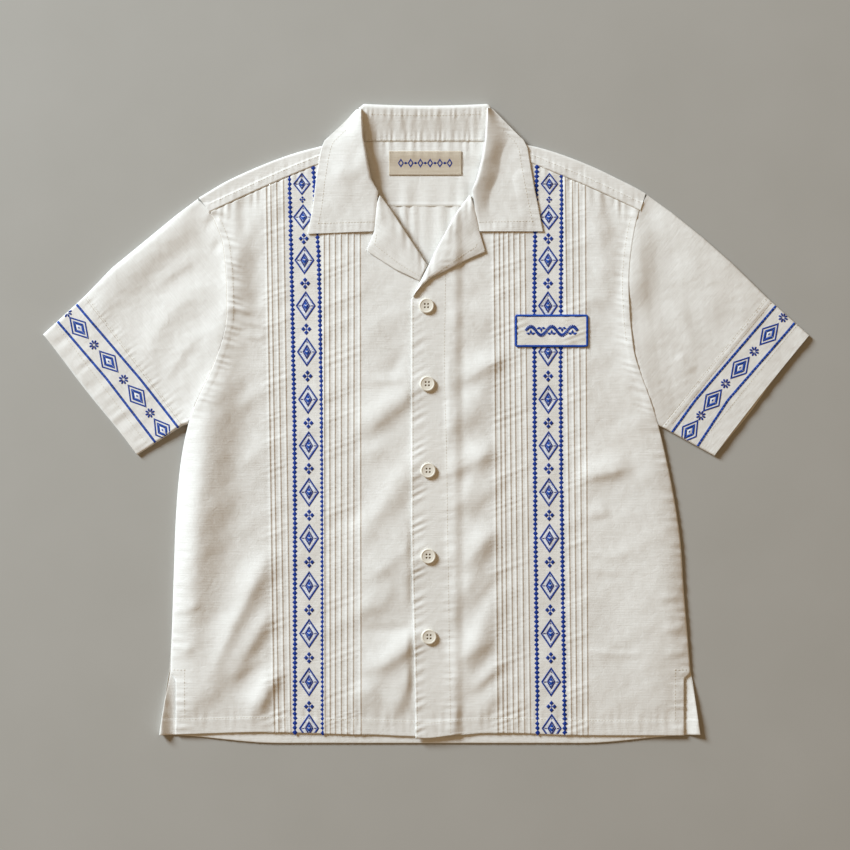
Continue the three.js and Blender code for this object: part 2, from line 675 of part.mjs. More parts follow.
// ---- Buttons: five four-hole buttons down the placket ----
const BUTTONS = rows("x y", [[1, 137], [2, 46], [3, -55], [3, -155], [4, -249]]);
{
  const material = new THREE.MeshStandardMaterial({ color: BUTTON_COLOUR, roughness: 0.35 });
  const profile = rows("share z", [
    [0, 0.3], [0.62, 0], [0.9, 0.9], [1, 1.9], [0.94, BUTTON_HEIGHT - 0.3], [0.84, BUTTON_HEIGHT],
    [0.72, BUTTON_HEIGHT - 0.25], [0.62, BUTTON_HEIGHT - 0.9], [0, BUTTON_HEIGHT - 1.1],
  ]);
  const turned = (radius, list, sides) =>
    new THREE.LatheGeometry(list.map(({ share, z }) => new THREE.Vector2(share * radius, z)), sides);
  const placed = (geometry, x, y, z) => {
    geometry.rotateX(Math.PI / 2);
    geometry.translate(x, y, z);
    geometry.deleteAttribute("normal");
    geometry.deleteAttribute("uv");
    return manifoldOf(geometry);
  };
  const pin = rows("share z", [[0, -1], [1, -1], [1, BUTTON_HEIGHT + 1], [0, BUTTON_HEIGHT + 1]]);
  BUTTONS.forEach(({ x, y }, i) => {
    const z = frontTop(x, y) + 1.5 * SEAM;
    let solid = placed(turned(BUTTON_RADIUS, profile, 20), x, y, z);
    for (const [sx, sy] of [[-1, -1], [-1, 1], [1, -1], [1, 1]]) {
      const hole = turned(HOLE_RADIUS, pin, 6);
      solid = solid.subtract(placed(hole, x + sx * HOLE_OFFSET, y + sy * HOLE_OFFSET, z));
    }
    parts.add(meshOf("button_" + (i + 1), solid, material));
  });
}

export default parts;
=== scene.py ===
"""A guayabera: a short-sleeved camp-collar shirt in ivory cotton and linen, with pintucked fronts
and blue embroidered bands, buttoned and laid flat on its back. Left and right are the viewer's."""
import math

import bpy
import numpy as np
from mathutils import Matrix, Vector


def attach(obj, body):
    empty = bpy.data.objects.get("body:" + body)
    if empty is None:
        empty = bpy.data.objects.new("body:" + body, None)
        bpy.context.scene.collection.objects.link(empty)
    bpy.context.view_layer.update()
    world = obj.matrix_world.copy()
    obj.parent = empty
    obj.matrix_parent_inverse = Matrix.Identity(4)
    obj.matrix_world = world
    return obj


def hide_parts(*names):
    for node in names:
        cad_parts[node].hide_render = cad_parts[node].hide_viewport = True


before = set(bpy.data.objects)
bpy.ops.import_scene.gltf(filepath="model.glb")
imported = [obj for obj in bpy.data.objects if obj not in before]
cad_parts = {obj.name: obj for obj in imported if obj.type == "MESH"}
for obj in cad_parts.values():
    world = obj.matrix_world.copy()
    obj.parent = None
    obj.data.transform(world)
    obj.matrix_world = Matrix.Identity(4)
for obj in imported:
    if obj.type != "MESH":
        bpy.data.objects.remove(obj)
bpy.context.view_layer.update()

# ---- Surface, camera and light ----
# A plain pale surface, a camera straight above it, and one large soft lamp over the collar's left
# with a weak even fill, so that the folds shade towards the lower right.
MM = 0.001
VIEW_WIDTH = 994.5 * MM
VIEW_CENTRE = (-0.8 * MM, -2.1 * MM)
CAMERA_HEIGHT = 2.6
SENSOR_WIDTH = 36
LAMP_PLACE = (-4.8, 4.1, 3.0)
LAMP_SIZE = 2.4
LAMP_POWER = 790
LAMP_COLOUR = (0.79, 0.91, 1)
FILL_COLOUR = "#FFD8A6"
FILL = 0.29
FLOOR_WIDTH = 12
FLOOR_DROP = 0.2 * MM  # keeps the surface clear of the cloth that lies on it


def linear(hex_colour):
    """An sRGB hex colour as linear red, green, blue and alpha."""
    parts = [int(hex_colour[i : i + 2], 16) / 255 for i in (1, 3, 5)]
    return (*(c / 12.92 if c <= 0.04045 else ((c + 0.055) / 1.055) ** 2.4 for c in parts), 1)


def add_node(tree, kind, values=(), **settings):
    """Adds a node. values pairs its inputs with constants or with sockets to link."""
    made = tree.nodes.new(kind)
    for key, value in settings.items():
        setattr(made, key, value)
    for key, value in dict(values).items():
        if isinstance(value, bpy.types.NodeSocket):
            tree.links.new(value, made.inputs[key])
        else:
            made.inputs[key].default_value = value
    return made


def new_material(name):
    """An empty node material and its tree."""
    material = bpy.data.materials.new(name)
    material.use_nodes = True
    material.node_tree.nodes.clear()
    return material, material.node_tree


def finish_material(tree, shader):
    add_node(tree, "ShaderNodeOutputMaterial", {"Surface": shader.outputs[0]})


# Painted board: matt and even, with faint clouds of tone about a hand wide.
floor_material, tree = new_material("smooth_painted_board")
at = add_node(tree, "ShaderNodeTexCoord").outputs["Object"]
mottle = add_node(tree, "ShaderNodeTexNoise", {"Vector": at, "Scale": 9.0, "Detail": 4.0})
tone = add_node(
    tree,
    "ShaderNodeMix",
    {"Factor": mottle.outputs["Fac"], 6: linear("#A9A69F"), 7: linear("#B1AEA8")},
    data_type="RGBA",
)
paint = add_node(
    tree, "ShaderNodeBsdfPrincipled", {"Base Color": tone.outputs[2], "Roughness": 0.75}
)
finish_material(tree, paint)

bpy.ops.mesh.primitive_plane_add(size=FLOOR_WIDTH)
floor = bpy.context.object
floor.name = "floor"
floor.data.materials.append(floor_material)
floor.location.z = -FLOOR_DROP

camera = bpy.data.objects.new("camera", bpy.data.cameras.new("camera"))
camera.data.sensor_width = SENSOR_WIDTH
camera.data.lens = SENSOR_WIDTH * CAMERA_HEIGHT / VIEW_WIDTH
camera.location = (*VIEW_CENTRE, CAMERA_HEIGHT)
bpy.context.collection.objects.link(camera)
bpy.context.scene.camera = camera

lamp = bpy.data.objects.new("lamp", bpy.data.lights.new("lamp", "AREA"))
lamp.data.shape = "DISK"
lamp.data.size = LAMP_SIZE
lamp.data.energy = LAMP_POWER
lamp.data.color = LAMP_COLOUR
lamp.location = LAMP_PLACE
lamp.rotation_euler = Vector(LAMP_PLACE).to_track_quat("Z", "Y").to_euler()
bpy.context.collection.objects.link(lamp)

world = bpy.data.worlds.new("room")
world.use_nodes = True
background = world.node_tree.nodes["Background"]
background.inputs["Color"].default_value = linear(FILL_COLOUR)
background.inputs["Strength"].default_value = FILL
bpy.context.scene.world = world
bpy.context.scene.view_settings.view_transform = "Standard"

# ---- Back ----
# One panel of plain-woven cotton and linen, flat on the surface, hemmed below and open at two side
# vents. Its inside shows in the neck, where it is eased into the yoke seam in soft gathers.
CLOTH = 1.2
SEAM = 0.3
LAYER = CLOTH + SEAM
SIDE_LEFT = [  # x and y down the armhole and the side seam to the vent
    (-252, 248), (-245, 233), (-238, 215), (-234, 190), (-232, 160), (-232, 124), (-236, 102),
    (-244, 77), (-254, 53), (-266, 28), (-274, 8), (-282, -22), (-287, -51), (-292, -110),
    (-294, -162), (-296, -223), (-298, -284),
]
SIDE_RIGHT = [
    (250, 250), (245, 232), (241, 210), (238, 185), (237, 161), (238, 134), (240, 109), (244, 80),
    (251, 58), (261, 31), (270, 4), (278, -27), (289, -79), (298, -139), (302, -199), (307, -258),
    (309, -286),
]
VENT_TOP = -291
VENT_LEFT, VENT_RIGHT = -292, 302
VENT_BACK_LEFT, VENT_BACK_RIGHT = -311, 321
BACK_YOKE_SEAM = 254
BACK_HEM = -374.2
BACK_CORNER = -364
BACK_WIDTH, BACK_HEIGHT = 600, 620  # about, for distances from the edges
HEM_DEPTH = 19
VENT_STEP = 8  # the height over which a side edge steps in or out at the vent
CURL_LEFT, CURL_RIGHT = 5.6, 3.4  # how far the back's corners curl up


def clamp(t):
    return np.clip(t, 0, 1)


def mix(a, b, t):
    return a + (b - a) * t


def ease(t):
    t = clamp(t)
    return t * t * (3 - 2 * t)


def bell(distance, width):
    """1 at no distance, and next to nothing two widths away."""
    return np.exp(-((distance / width) ** 2))


def read(points, at, by=1):
    """The other coordinate of a line of points where coordinate `by` is `at`, on a smooth curve."""
    points = np.array(sorted(points, key=lambda p: p[by]), float)
    t, v = points[:, by], points[:, 1 - by]
    step = np.diff(v) / np.diff(t)
    slope = np.concatenate([[step[0]], (step[1:] + step[:-1]) / 2, [step[-1]]])
    at = np.clip(at, t[0], t[-1])
    i = np.clip(np.searchsorted(t, at) - 1, 0, len(t) - 2)
    width = t[i + 1] - t[i]
    s = (at - t[i]) / width
    return (
        (2 * s**3 - 3 * s**2 + 1) * v[i]
        + (s**3 - 2 * s**2 + s) * width * slope[i]
        + (3 * s**2 - 2 * s**3) * v[i + 1]
        + (s**3 - s**2) * width * slope[i + 1]
    )


def waver(s, wavelength, seed):
    """An uneven wave along s, about -1 to 1, whose bumps differ in size and spacing."""
    rng = np.random.default_rng(seed)
    phase = rng.uniform(0, 2 * math.pi, 4)
    turn = 2 * math.pi * np.asarray(s, float) / wavelength
    carrier = np.sin(turn + phase[0] + 1.4 * np.sin(turn * 0.23 + phase[1]))
    return carrier * (0.62 + 0.38 * np.sin(turn * 0.37 + phase[2] + np.sin(turn * 0.11 + phase[3])))


def ripple(x, y, wavelength, seed):
    """Soft uneven bumps over a surface, about -1 to 1."""
    rng = np.random.default_rng(seed)
    total = 0
    for _ in range(7):
        angle, phase, stretch = rng.uniform(0, math.pi), rng.uniform(0, 6.3), rng.uniform(0.6, 1.5)
        run = x * math.cos(angle) + y * math.sin(angle)
        total = total + np.sin(2 * math.pi * run / (wavelength * stretch) + phase)
    return total / 4


def grid_of(*arrays):
    """Rows of points from arrays of x, y and z that may be one number."""
    return np.stack(np.broadcast_arrays(*[np.asarray(a, float) for a in arrays]), axis=-1)


def zip_lines(a, b):
    """Triangles between two lines of vertex numbers that may differ in count."""
    faces, i, j = [], 0, 0
    while i < len(a) - 1 or j < len(b) - 1:
        if j == len(b) - 1 or (i < len(a) - 1 and (i + 1) * (len(b) - 1) <= (j + 1) * (len(a) - 1)):
            faces.append((a[i], a[i + 1], b[j]))
            i += 1
        else:
            faces.append((a[i], b[j + 1], b[j]))
            j += 1
    return faces


def grid_faces(ids, flip):
    """Quads of a grid of vertex numbers."""
    quads = np.stack([ids[:-1, :-1], ids[1:, :-1], ids[1:, 1:], ids[:-1, 1:]], axis=-1)
    quads = quads.reshape(-1, 4)
    return [tuple(quad) for quad in (quads[:, ::-1] if flip else quads)]


def shell(outer, inner, closed=False):
    """A closed cloth wall between two grids of points: vertices and faces, facing outwards. With
    closed, each row is a loop round a tube."""
    numbers, start = [], 0
    for grid in (outer, inner):
        ids = start + np.arange(grid.shape[0] * grid.shape[1]).reshape(grid.shape[:2])
        numbers.append(np.concatenate([ids, ids[:, :1]], axis=1) if closed else ids)
        start += ids.size
    out, inside = numbers
    faces = grid_faces(out, False) + grid_faces(inside, True)
    faces += zip_lines(out[0], inside[0]) + zip_lines(inside[-1], out[-1])
    if not closed:
        faces += zip_lines(inside[:, 0], out[:, 0]) + zip_lines(out[:, -1], inside[:, -1])
    return np.concatenate([outer.reshape(-1, 3), inner.reshape(-1, 3)]), faces


def volume(points, faces):
    """Six times a closed shell's volume, negative where its faces point inwards."""
    total = 0.0
    for count in (3, 4):
        some = np.array([f for f in faces if len(f) == count], int)
        for k in range(1, count - 1) if len(some) else ():
            a, b, c = points[some[:, 0]], points[some[:, k]], points[some[:, k + 1]]
            total += np.einsum("ij,ij->", a, np.cross(b, c))
    return total


def cloth_object(name, walls, material, grain=(1, 0)):
    """A mesh object of one or more closed walls in millimetres. Its UV map gives metres across and
    along the grain, and grain is the direction of the weft in plan."""
    points, faces, start = [], [], 0
    for wall_points, wall_faces in walls:
        turned = volume(wall_points, wall_faces) < 0
        faces += [tuple(int(i) + start for i in (f[::-1] if turned else f)) for f in wall_faces]
        points.append(wall_points)
        start += len(wall_points)
    points = np.concatenate(points) * MM
    mesh = bpy.data.meshes.new(name)
    mesh.from_pydata(points.tolist(), [], faces)
    uv = mesh.uv_layers.new(name="grain")
    corner = np.empty(len(mesh.loops), int)
    mesh.loops.foreach_get("vertex_index", corner)
    across = points[corner, 0] * grain[0] + points[corner, 1] * grain[1]
    up = points[corner, 1] * grain[0] - points[corner, 0] * grain[1]
    uv.data.foreach_set("uv", np.stack([across, up], axis=1).ravel())
    mesh.polygons.foreach_set("use_smooth", [True] * len(mesh.polygons))
    mesh.set_sharp_from_angle(angle=math.radians(62))
    mesh.materials.append(material)
    made = bpy.data.objects.new(name, mesh)
    bpy.context.collection.objects.link(made)
    return made


def lift_edge(distance, round_over=1.0):
    """How far a cloth edge rounds down at a distance from it."""
    return 0.5 * CLOTH * (1 - np.sqrt(1 - (1 - clamp(distance / round_over)) ** 2))


def woven(name, light, dark, thread=0.75, slub=1.0, crinkle=1.0):
    """Plain-woven cotton and linen: fine crossing threads, thicker slubs along the weft, and a
    matt surface with a little lint. Threads are drawn 0.75 mm apart, coarser than the real 0.4 mm,
    so that they show. The attribute `groove` paints shade, a warm brown, into the foot of a
    stitched fold, where the fold's own shadow lies."""
    material, tree = new_material(name)
    uv = add_node(tree, "ShaderNodeUVMap", uv_map="grain").outputs["UV"]
    period = 2 * math.pi / 20
    bands = [
        add_node(
            tree,
            "ShaderNodeTexWave",
            {"Vector": uv, "Scale": period / (thread * MM), "Distortion": 1.2, "Detail": 1.0,
             "Detail Scale": 1.5},
            bands_direction=axis,
        ).outputs["Fac"]
        for axis in "XY"
    ]
    weave = add_node(tree, "ShaderNodeMath", {0: bands[0], 1: bands[1]}, operation="MAXIMUM")
    stretched = add_node(tree, "ShaderNodeMapping", {"Vector": uv, "Scale": (34, 640, 1)})
    slubs = add_node(
        tree,
        "ShaderNodeTexNoise",
        {"Vector": stretched.outputs[0], "Scale": 1.0, "Detail": 3.0, "Roughness": 0.62},
    )
    upright = add_node(tree, "ShaderNodeMapping", {"Vector": uv, "Scale": (520, 26, 1)})
    warp_slubs = add_node(
        tree, "ShaderNodeTexNoise", {"Vector": upright.outputs[0], "Scale": 1.0, "Detail": 2.0}
    )
    creases = add_node(
        tree,
        "ShaderNodeTexNoise",
        {"Vector": uv, "Scale": 95.0, "Detail": 5.0, "Roughness": 0.6, "Distortion": 0.8},
    )
    cloud = add_node(tree, "ShaderNodeTexNoise", {"Vector": uv, "Scale": 7.0, "Detail": 3.0})
    both = add_node(
        tree, "ShaderNodeMath",
        {0: slubs.outputs["Fac"], 1: 0.85, 2: 0.0}, operation="MULTIPLY_ADD",
    )
    streaks = add_node(
        tree, "ShaderNodeMath",
        {0: warp_slubs.outputs["Fac"], 1: 0.15, 2: both.outputs[0]}, operation="MULTIPLY_ADD",
    )
    sharp = add_node(
        tree, "ShaderNodeMapRange",
        {"Value": streaks.outputs[0], "From Min": 0.38, "From Max": 0.66},
    )
    tone = add_node(
        tree,
        "ShaderNodeMix",
        {"Factor": sharp.outputs[0], 6: linear(dark), 7: linear(light)},
        data_type="RGBA",
    )
    faded = add_node(
        tree, "ShaderNodeMapRange",
        {"Value": cloud.outputs["Fac"], "From Min": 0.3, "From Max": 0.7, "To Min": 0.965,
         "To Max": 1.02},
    )
    # Painted shade: the attribute `groove` mixes a warm brown into the foot of each stitched fold,
    # standing for its shadow.
    groove = add_node(tree, "ShaderNodeAttribute", attribute_name="groove").outputs["Fac"]
    groove_shaded = add_node(
        tree, "ShaderNodeMix", {"Factor": groove, 6: tone.outputs[2], 7: linear("#CAB9A4")},
        data_type="RGBA",
    )
    shade = add_node(
        tree,
        "ShaderNodeHueSaturation",
        {"Color": groove_shaded.outputs[2], "Value": faded.outputs[0]},
    )
    rough = add_node(
        tree, "ShaderNodeMapRange",
        {"Value": slubs.outputs["Fac"], "To Min": 0.82, "To Max": 0.95},
    )
    thread_bump = add_node(
        tree, "ShaderNodeBump",
        {"Height": weave.outputs[0], "Strength": 0.5, "Distance": 0.00016},
    )
    slub_bump = add_node(
        tree, "ShaderNodeBump",
        {"Height": sharp.outputs[0], "Strength": 0.55 * slub, "Distance": 0.00032,
         "Normal": thread_bump.outputs[0]},
    )
    crease_bump = add_node(
        tree, "ShaderNodeBump",
        {"Height": creases.outputs["Fac"], "Strength": 0.5 * crinkle, "Distance": 0.0016,
         "Normal": slub_bump.outputs[0]},
    )
    shader = add_node(
        tree,
        "ShaderNodeBsdfPrincipled",
        {"Base Color": shade.outputs[0], "Roughness": rough.outputs[0],
         "Normal": crease_bump.outputs[0], "Sheen Weight": 0.18, "Sheen Roughness": 0.5,
         "Specular IOR Level": 0.25},
    )
    finish_material(tree, shader)
    return material


ivory_cloth = woven("plain_woven_cotton_linen", "#F2F0EC", "#EBE9E4", slub=0.42, crinkle=0.5)


def side_x(points, vent, y):
    """x of a side edge of the front, which steps in where the vent opens."""
    x = read(points, y)
    return np.where(y > VENT_TOP, x, mix(x, vent, ease((VENT_TOP - y) / VENT_STEP)))


def back_side(points, corner, y):
    """x of a side edge of the back, which flares below the vent."""
    share = clamp((VENT_TOP - y) / (VENT_TOP - BACK_CORNER))
    return mix(read(points, y), corner, share**0.8)


def back_hem(u):
    """y of the back's hem, which dips between its corners."""
    return mix(BACK_CORNER, BACK_HEM, ease(np.minimum(u, 1 - u) / 0.22))


def back_grid(columns, rows_down, height):
    """Points over the back at shares across and down it, at heights that a function gives."""
    u, v = np.meshgrid(columns, rows_down)
    flat = mix(BACK_YOKE_SEAM - SEAM, BACK_CORNER, v)
    left = back_side(SIDE_LEFT, VENT_BACK_LEFT, flat)
    right = back_side(SIDE_RIGHT, VENT_BACK_RIGHT, flat)
    x, y = mix(left, right, u), mix(BACK_YOKE_SEAM - SEAM, back_hem(u), v)
    return grid_of(x, y, height(x, y, u, v))


def back_top(x, y, u, v):
    """Height of the back's upper face: gathers, the turned hem, and corners that curl up."""
    gathers = 0.9 * waver(x, 15, 3) * bell(y - 240, 55) * (np.abs(x) < 90)
    hem = 0.6 * ease((back_hem(u) + HEM_DEPTH - y) / 2)
    puckers = 0.3 * waver(x, 8, 5) * bell(y - back_hem(u) - 6, 9)
    from_side = np.minimum(u, 1 - u) * BACK_WIDTH
    vent = 0.5 * ease((VENT_TOP - y) / VENT_STEP) * (1 - ease((from_side - 9) / 2))
    beyond = np.maximum(VENT_LEFT - x, x - VENT_RIGHT) * (y < VENT_TOP)
    curl = np.where(x < 0, CURL_LEFT, CURL_RIGHT) * ease((VENT_TOP - y) / 30)
    vent = vent + curl * ease((beyond - 1.5) / 16) ** 1.4 * (1 + 0.08 * waver(y, 18, 8))
    edge = np.minimum(from_side, (1 - v) * BACK_HEIGHT)
    return CLOTH + 0.1 + gathers + hem + puckers + vent - lift_edge(edge, 1.4)


near_edge = np.array([0, 0.0006, 0.0016, 0.004])
columns = np.concatenate([near_edge, np.linspace(0.008, 0.992, 150), 1 - near_edge[::-1]])
rows_down = np.concatenate([np.linspace(0, 0.25, 70), np.linspace(0.26, 0.93, 40),
                            np.linspace(0.935, 0.99, 20), 1 - near_edge[::-1]])
back = cloth_object(
    "back_cloth",
    [shell(back_grid(columns, rows_down, back_top),
           back_grid(columns[::6], rows_down[::5], lambda x, y, u, v: 0 * x))],
    ivory_cloth,
)
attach(back, "root")
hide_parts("back")

# ---- Yoke ----
# The same cloth cut across the shoulders: it lies under the neck, folds over both shoulders and is
# seamed to the fronts, its seams pressed back and topstitched.
BODY_LOFT = 2.4  # how far the fronts lie over the back
SIDE_ROUND = 32  # how far from the side seam that height is reached
BODY_FOLDS = [  # x0, y0, x1, y1 of the crest, half width, height; negative is a trough
    (-262, 30, -276, -330, 20, 2.6),
    (-206, 250, -198, 150, 13, -1.9),
    (-212, 70, -226, -150, 22, -2.4),
    (-190, -168, -250, -305, 16, 2.9),
    (-188, -232, -222, -285, 12, 2.4),
    (-184, -300, -200, -338, 12, 2.0),
    (-194, -50, -236, -90, 16, 1.6),
    (-16, 42, -74, 0, 14, 1.3),
    (-16, -52, -70, -124, 15, 2.4),
    (-18, -165, -72, -213, 14, 2.2),
    (-18, -255, -72, -315, 14, 2.4),
    (78, 62, 44, 8, 13, 1.5),
    (68, -42, 44, -90, 12, 1.8),
    (70, -138, 46, -196, 13, 2.2),
    (74, -222, 44, -298, 14, 2.5),
    (212, 252, 222, 150, 10, -1.6),
    (232, 150, 240, 60, 13, 1.6),
    (200, -55, 262, -60, 20, 1.2),
    (240, -120, 262, -300, 26, 1.4),
]
FOLD_DEPTH = 1.38
FOLD_SPREAD = 1.2
FOLD_HEIGHT_SPREAD = 2.4  # a high fold is at least this many times as wide as it is high
FOLD_FADE = 0.36  # the share of a fold's length over which each end fades
CREASES = [  # points along the crest, half width on a walker's left and right, height
    ([(-197, 284), (-212, 240), (-217, 200), (-221, 140), (-227, 90)], 18, 12, 2.7),
    ([(-213, 270), (-214, 236), (-216, 204)], 6, 6, -1.2),
    ([(-206, 170), (-227, 99), (-241, 27), (-258, -51), (-272, -149), (-283, -215), (-288, -310)],
     27, 26, 6.5),
    ([(-244, 134), (-218, 132), (-196, 128)], 4.5, 2.6, 1.1),
    ([(-220, 120), (-200, 116), (-184, 112)], 4, 2, 0.5),
    ([(-214, 103), (-196, 100), (-182, 101)], 3, 2, 0.4),
    ([(-177, 46), (-200, 34), (-224, 10)], 8, 9, 0.9),
    ([(-172, -14), (-197, -30), (-224, -56)], 9, 13, 1.3),
    ([(-180, -70), (-200, -90), (-226, -140), (-250, -232)], 16, 24, 1.3),
    ([(-182, -140), (-194, -172), (-209, -203), (-226, -234), (-243, -274), (-254, -310)],
     8, 21, 2.6),
    ([(-182, -208), (-200, -250), (-232, -298)], 8, 16, 1.8),
    ([(-182, -266), (-205, -282), (-236, -302)], 5, 7, 0.8),
    ([(-164, -278), (-186, -314), (-204, -352)], 5, 13, 2.1),
    ([(-300, -212), (-278, -216), (-258, -210)], 6, 4, 0.9),
    ([(-297, -260), (-282, -266), (-268, -258)], 5, 4, 0.8),
    ([(-4, 132), (-44, 122), (-86, 115)], 18, 10, 0.5),
    ([(-22, 96), (-34, 70), (-44, 48)], 7, 9, -0.8),
    ([(0, 46), (-40, 17), (-80, -18)], 7, 14, 1.8),
    ([(-84, 49), (-48, 50), (-6, 53)], 7, 4, 0.8),
    ([(-84, -34), (-50, -30), (-12, -46)], 8, 8, 0.7),
    ([(0, -122), (-28, -148), (-44, -162), (-80, -190)], 9, 26, 2.7),
    ([(-19, -150), (-21, -186), (-23, -226)], 5, 9, 1.0),
    ([(-82, -224), (-50, -212), (-32, -188)], 6, 8, 0.8),
    ([(-2, -239), (-40, -241), (-82, -243)], 6, 5, -0.8),
    ([(2, -248), (-24, -264), (-50, -280), (-88, -293)], 7, 17, 2.3),
    ([(-2, -264), (-24, -308), (-46, -356)], 7, 15, 2.3),
    ([(-82, -298), (-60, -318), (-64, -352)], 6, 7, 0.7),
    ([(20, 141), (50, 128), (92, 120)], 10, 18, 1.3),
    ([(24, 116), (26, 60), (26, 0), (25, -46)], 8, 7, 0.9),
    ([(94, 83), (62, 62), (32, 44)], 7, 14, 2.1),
    ([(94, 38), (60, 14), (30, -16)], 12, 16, 1.4),
    ([(84, -26), (58, -42), (20, -60)], 8, 15, 2.1),
    ([(94, -62), (62, -88), (38, -112)], 8, 12, 1.3),
    ([(84, -119), (64, -138), (32, -178)], 9, 20, 2.6),
    ([(92, -164), (66, -190), (44, -218)], 7, 12, 1.1),
    ([(86, -248), (60, -260), (24, -282)], 9, 17, 2.4),
    ([(98, -272), (72, -294), (46, -318)], 5, 8, 1.9),
    ([(94, -304), (78, -322), (50, -356)], 8, 12, 1.9),
    ([(40, -322), (33, -348), (30, -370)], 4, 5, 0.9),
    ([(194, 280), (206, 240), (214, 205), (217, 165), (218, 124)], 9, 18, 2.1),
    ([(178, 152), (206, 144), (236, 140)], 6, 8, 0.7),
    ([(172, -64), (208, -58), (246, -48)], 14, 5, 2.0),
    ([(186, -106), (202, -106), (218, -102)], 8, 4, 0.9),
    ([(180, -148), (214, -156), (244, -150)], 5, 4, 0.4),
    ([(180, -168), (212, -174), (240, -170)], 4, 4, 0.35),
    ([(180, -264), (220, -270), (266, -268)], 3, 4, 0.5),
    ([(272, -30), (282, -110), (287, -200), (287, -320)], 16, 25, 1.9),
    ([(304, -192), (288, -204), (270, -202)], 4, 5, 0.9),
    ([(308, -230), (292, -240), (274, -238)], 4, 5, 0.9),
    ([(310, -260), (294, -269), (278, -267)], 4, 5, 0.8),
    ([(-254, 262), (-300, 228), (-345, 190), (-404, 140)], 15, 8, 2.3),
    ([(-256, 202), (-290, 180), (-328, 150)], 5, 9, 0.9),
    ([(-262, 256), (-240, 205), (-234, 150), (-250, 60)], 14, 20, 1.9),
    ([(-258, 224), (-249, 238), (-243, 250)], 3, 5, -1.0),
    ([(-250, 196), (-244, 206), (-238, 216)], 3, 4, -0.7),
    ([(-256, 172), (-300, 128), (-336, 84)], 9, 15, 1.3),
    ([(-256, 116), (-284, 84), (-312, 40)], 7, 14, 1.6),
    ([(264, 264), (252, 205), (246, 156), (245, 110)], 15, 10, 3.0),
    ([(242, 140), (251, 80), (265, 36), (280, -6)], 15, 10, 2.4),
    ([(254, 262), (300, 226), (350, 184), (402, 138)], 7, 12, 1.3),
    ([(282, 196), (320, 160), (352, 112)], 16, 12, 1.2),
    ([(290, 150), (300, 118), (322, 74)], 7, 10, 0.9),
    ([(292, 84), (304, 66), (318, 62)], 5, 6, 0.9),
]
SHOULDER_SEAM_LEFT = [(-253, 246), (-192, 274), (-146, 294), (-110, 308)]
SHOULDER_SEAM_RIGHT = [(108, 310), (157, 290), (186, 278), (251, 248)]
SHOULDER_LEFT = [
    (-266, 263), (-256, 269), (-236, 281), (-195, 300), (-155, 315), (-118, 325), (-104, 329),
]
SHOULDER_RIGHT = [
    (102, 329), (115, 326), (133, 322), (159, 314), (197, 299), (226, 285), (246, 275), (258, 268),
]
NECK_SEAM = 329
ROUND_STEPS = 6


def fold_height(folds, x, y):
    """Sum of soft ridges, each fading out at its ends."""
    total = 0
    for x0, y0, x1, y1, width, height in folds:
        length = math.hypot(x1 - x0, y1 - y0)
        t = ((x - x0) * (x1 - x0) + (y - y0) * (y1 - y0)) / length**2
        across = ((x - x0) * (y1 - y0) - (y - y0) * (x1 - x0)) / length
        past = np.maximum(0, np.maximum(-t, t - 1)) * length / (1.4 * width)
        total = total + height * np.exp(-((across / width) ** 2) - past**2)
    return total


def crease_height(creases, x, y):
    """Sum of ridges along bent lines, steeper on one side than on the other, that fade out at both
    ends. Left and right are a walker's along the line."""
    total = np.zeros(np.broadcast(x, y).shape)
    for points, left, right, height in creases:
        low, high = np.min(points, axis=0), np.max(points, axis=0)
        reach = 3 * math.hypot(FOLD_SPREAD * max(left, right), FOLD_HEIGHT_SPREAD * height)
        near = (x > low[0] - reach) & (x < high[0] + reach)
        near &= (y > low[1] - reach) & (y < high[1] + reach)
        px, py = x[near], y[near]
        nearest, side, run, gone = np.full(px.shape, 1e9), 0 * px, 0 * px, 0
        for (x0, y0), (x1, y1) in zip(points, points[1:]):
            dx, dy = x1 - x0, y1 - y0
            length = math.hypot(dx, dy)
            t = clamp(((px - x0) * dx + (py - y0) * dy) / length**2)
            away = (px - x0 - t * dx) ** 2 + (py - y0 - t * dy) ** 2
            closer = away < nearest
            nearest = np.where(closer, away, nearest)
            side = np.where(closer, (dx * (py - y0) - dy * (px - x0)) / length, side)
            run = np.where(closer, gone + t * length, run)
            gone += length
        fade = ease(run / (FOLD_FADE * gone)) * ease((gone - run) / (FOLD_FADE * gone))
        width = FOLD_SPREAD * mix(right, left, ease(0.5 + side / 10))
        width = np.hypot(width, FOLD_HEIGHT_SPREAD * height)
        total[near] += FOLD_DEPTH * height * fade * np.exp(-nearest / width**2)
    return total


def mapped(creases, box, step=0.9):
    """A quick height function of the creases, read from a table over the box."""
    xs, ys = np.arange(box[0], box[1], step), np.arange(box[2], box[3], step)
    table = crease_height(creases, *np.meshgrid(xs, ys))

    def height(x, y):
        i, j = (np.asarray(x) - box[0]) / step, (np.asarray(y) - box[2]) / step
        i, j = np.clip(i, 0, len(xs) - 1.001), np.clip(j, 0, len(ys) - 1.001)
        i0, j0 = i.astype(int), j.astype(int)
        i, j = i - i0, j - j0
        below = mix(table[j0, i0], table[j0, i0 + 1], i)
        above = mix(table[j0 + 1, i0], table[j0 + 1, i0 + 1], i)
        return mix(below, above, j)

    return height


creased = mapped(CREASES, (-460, 460, -380, 340))


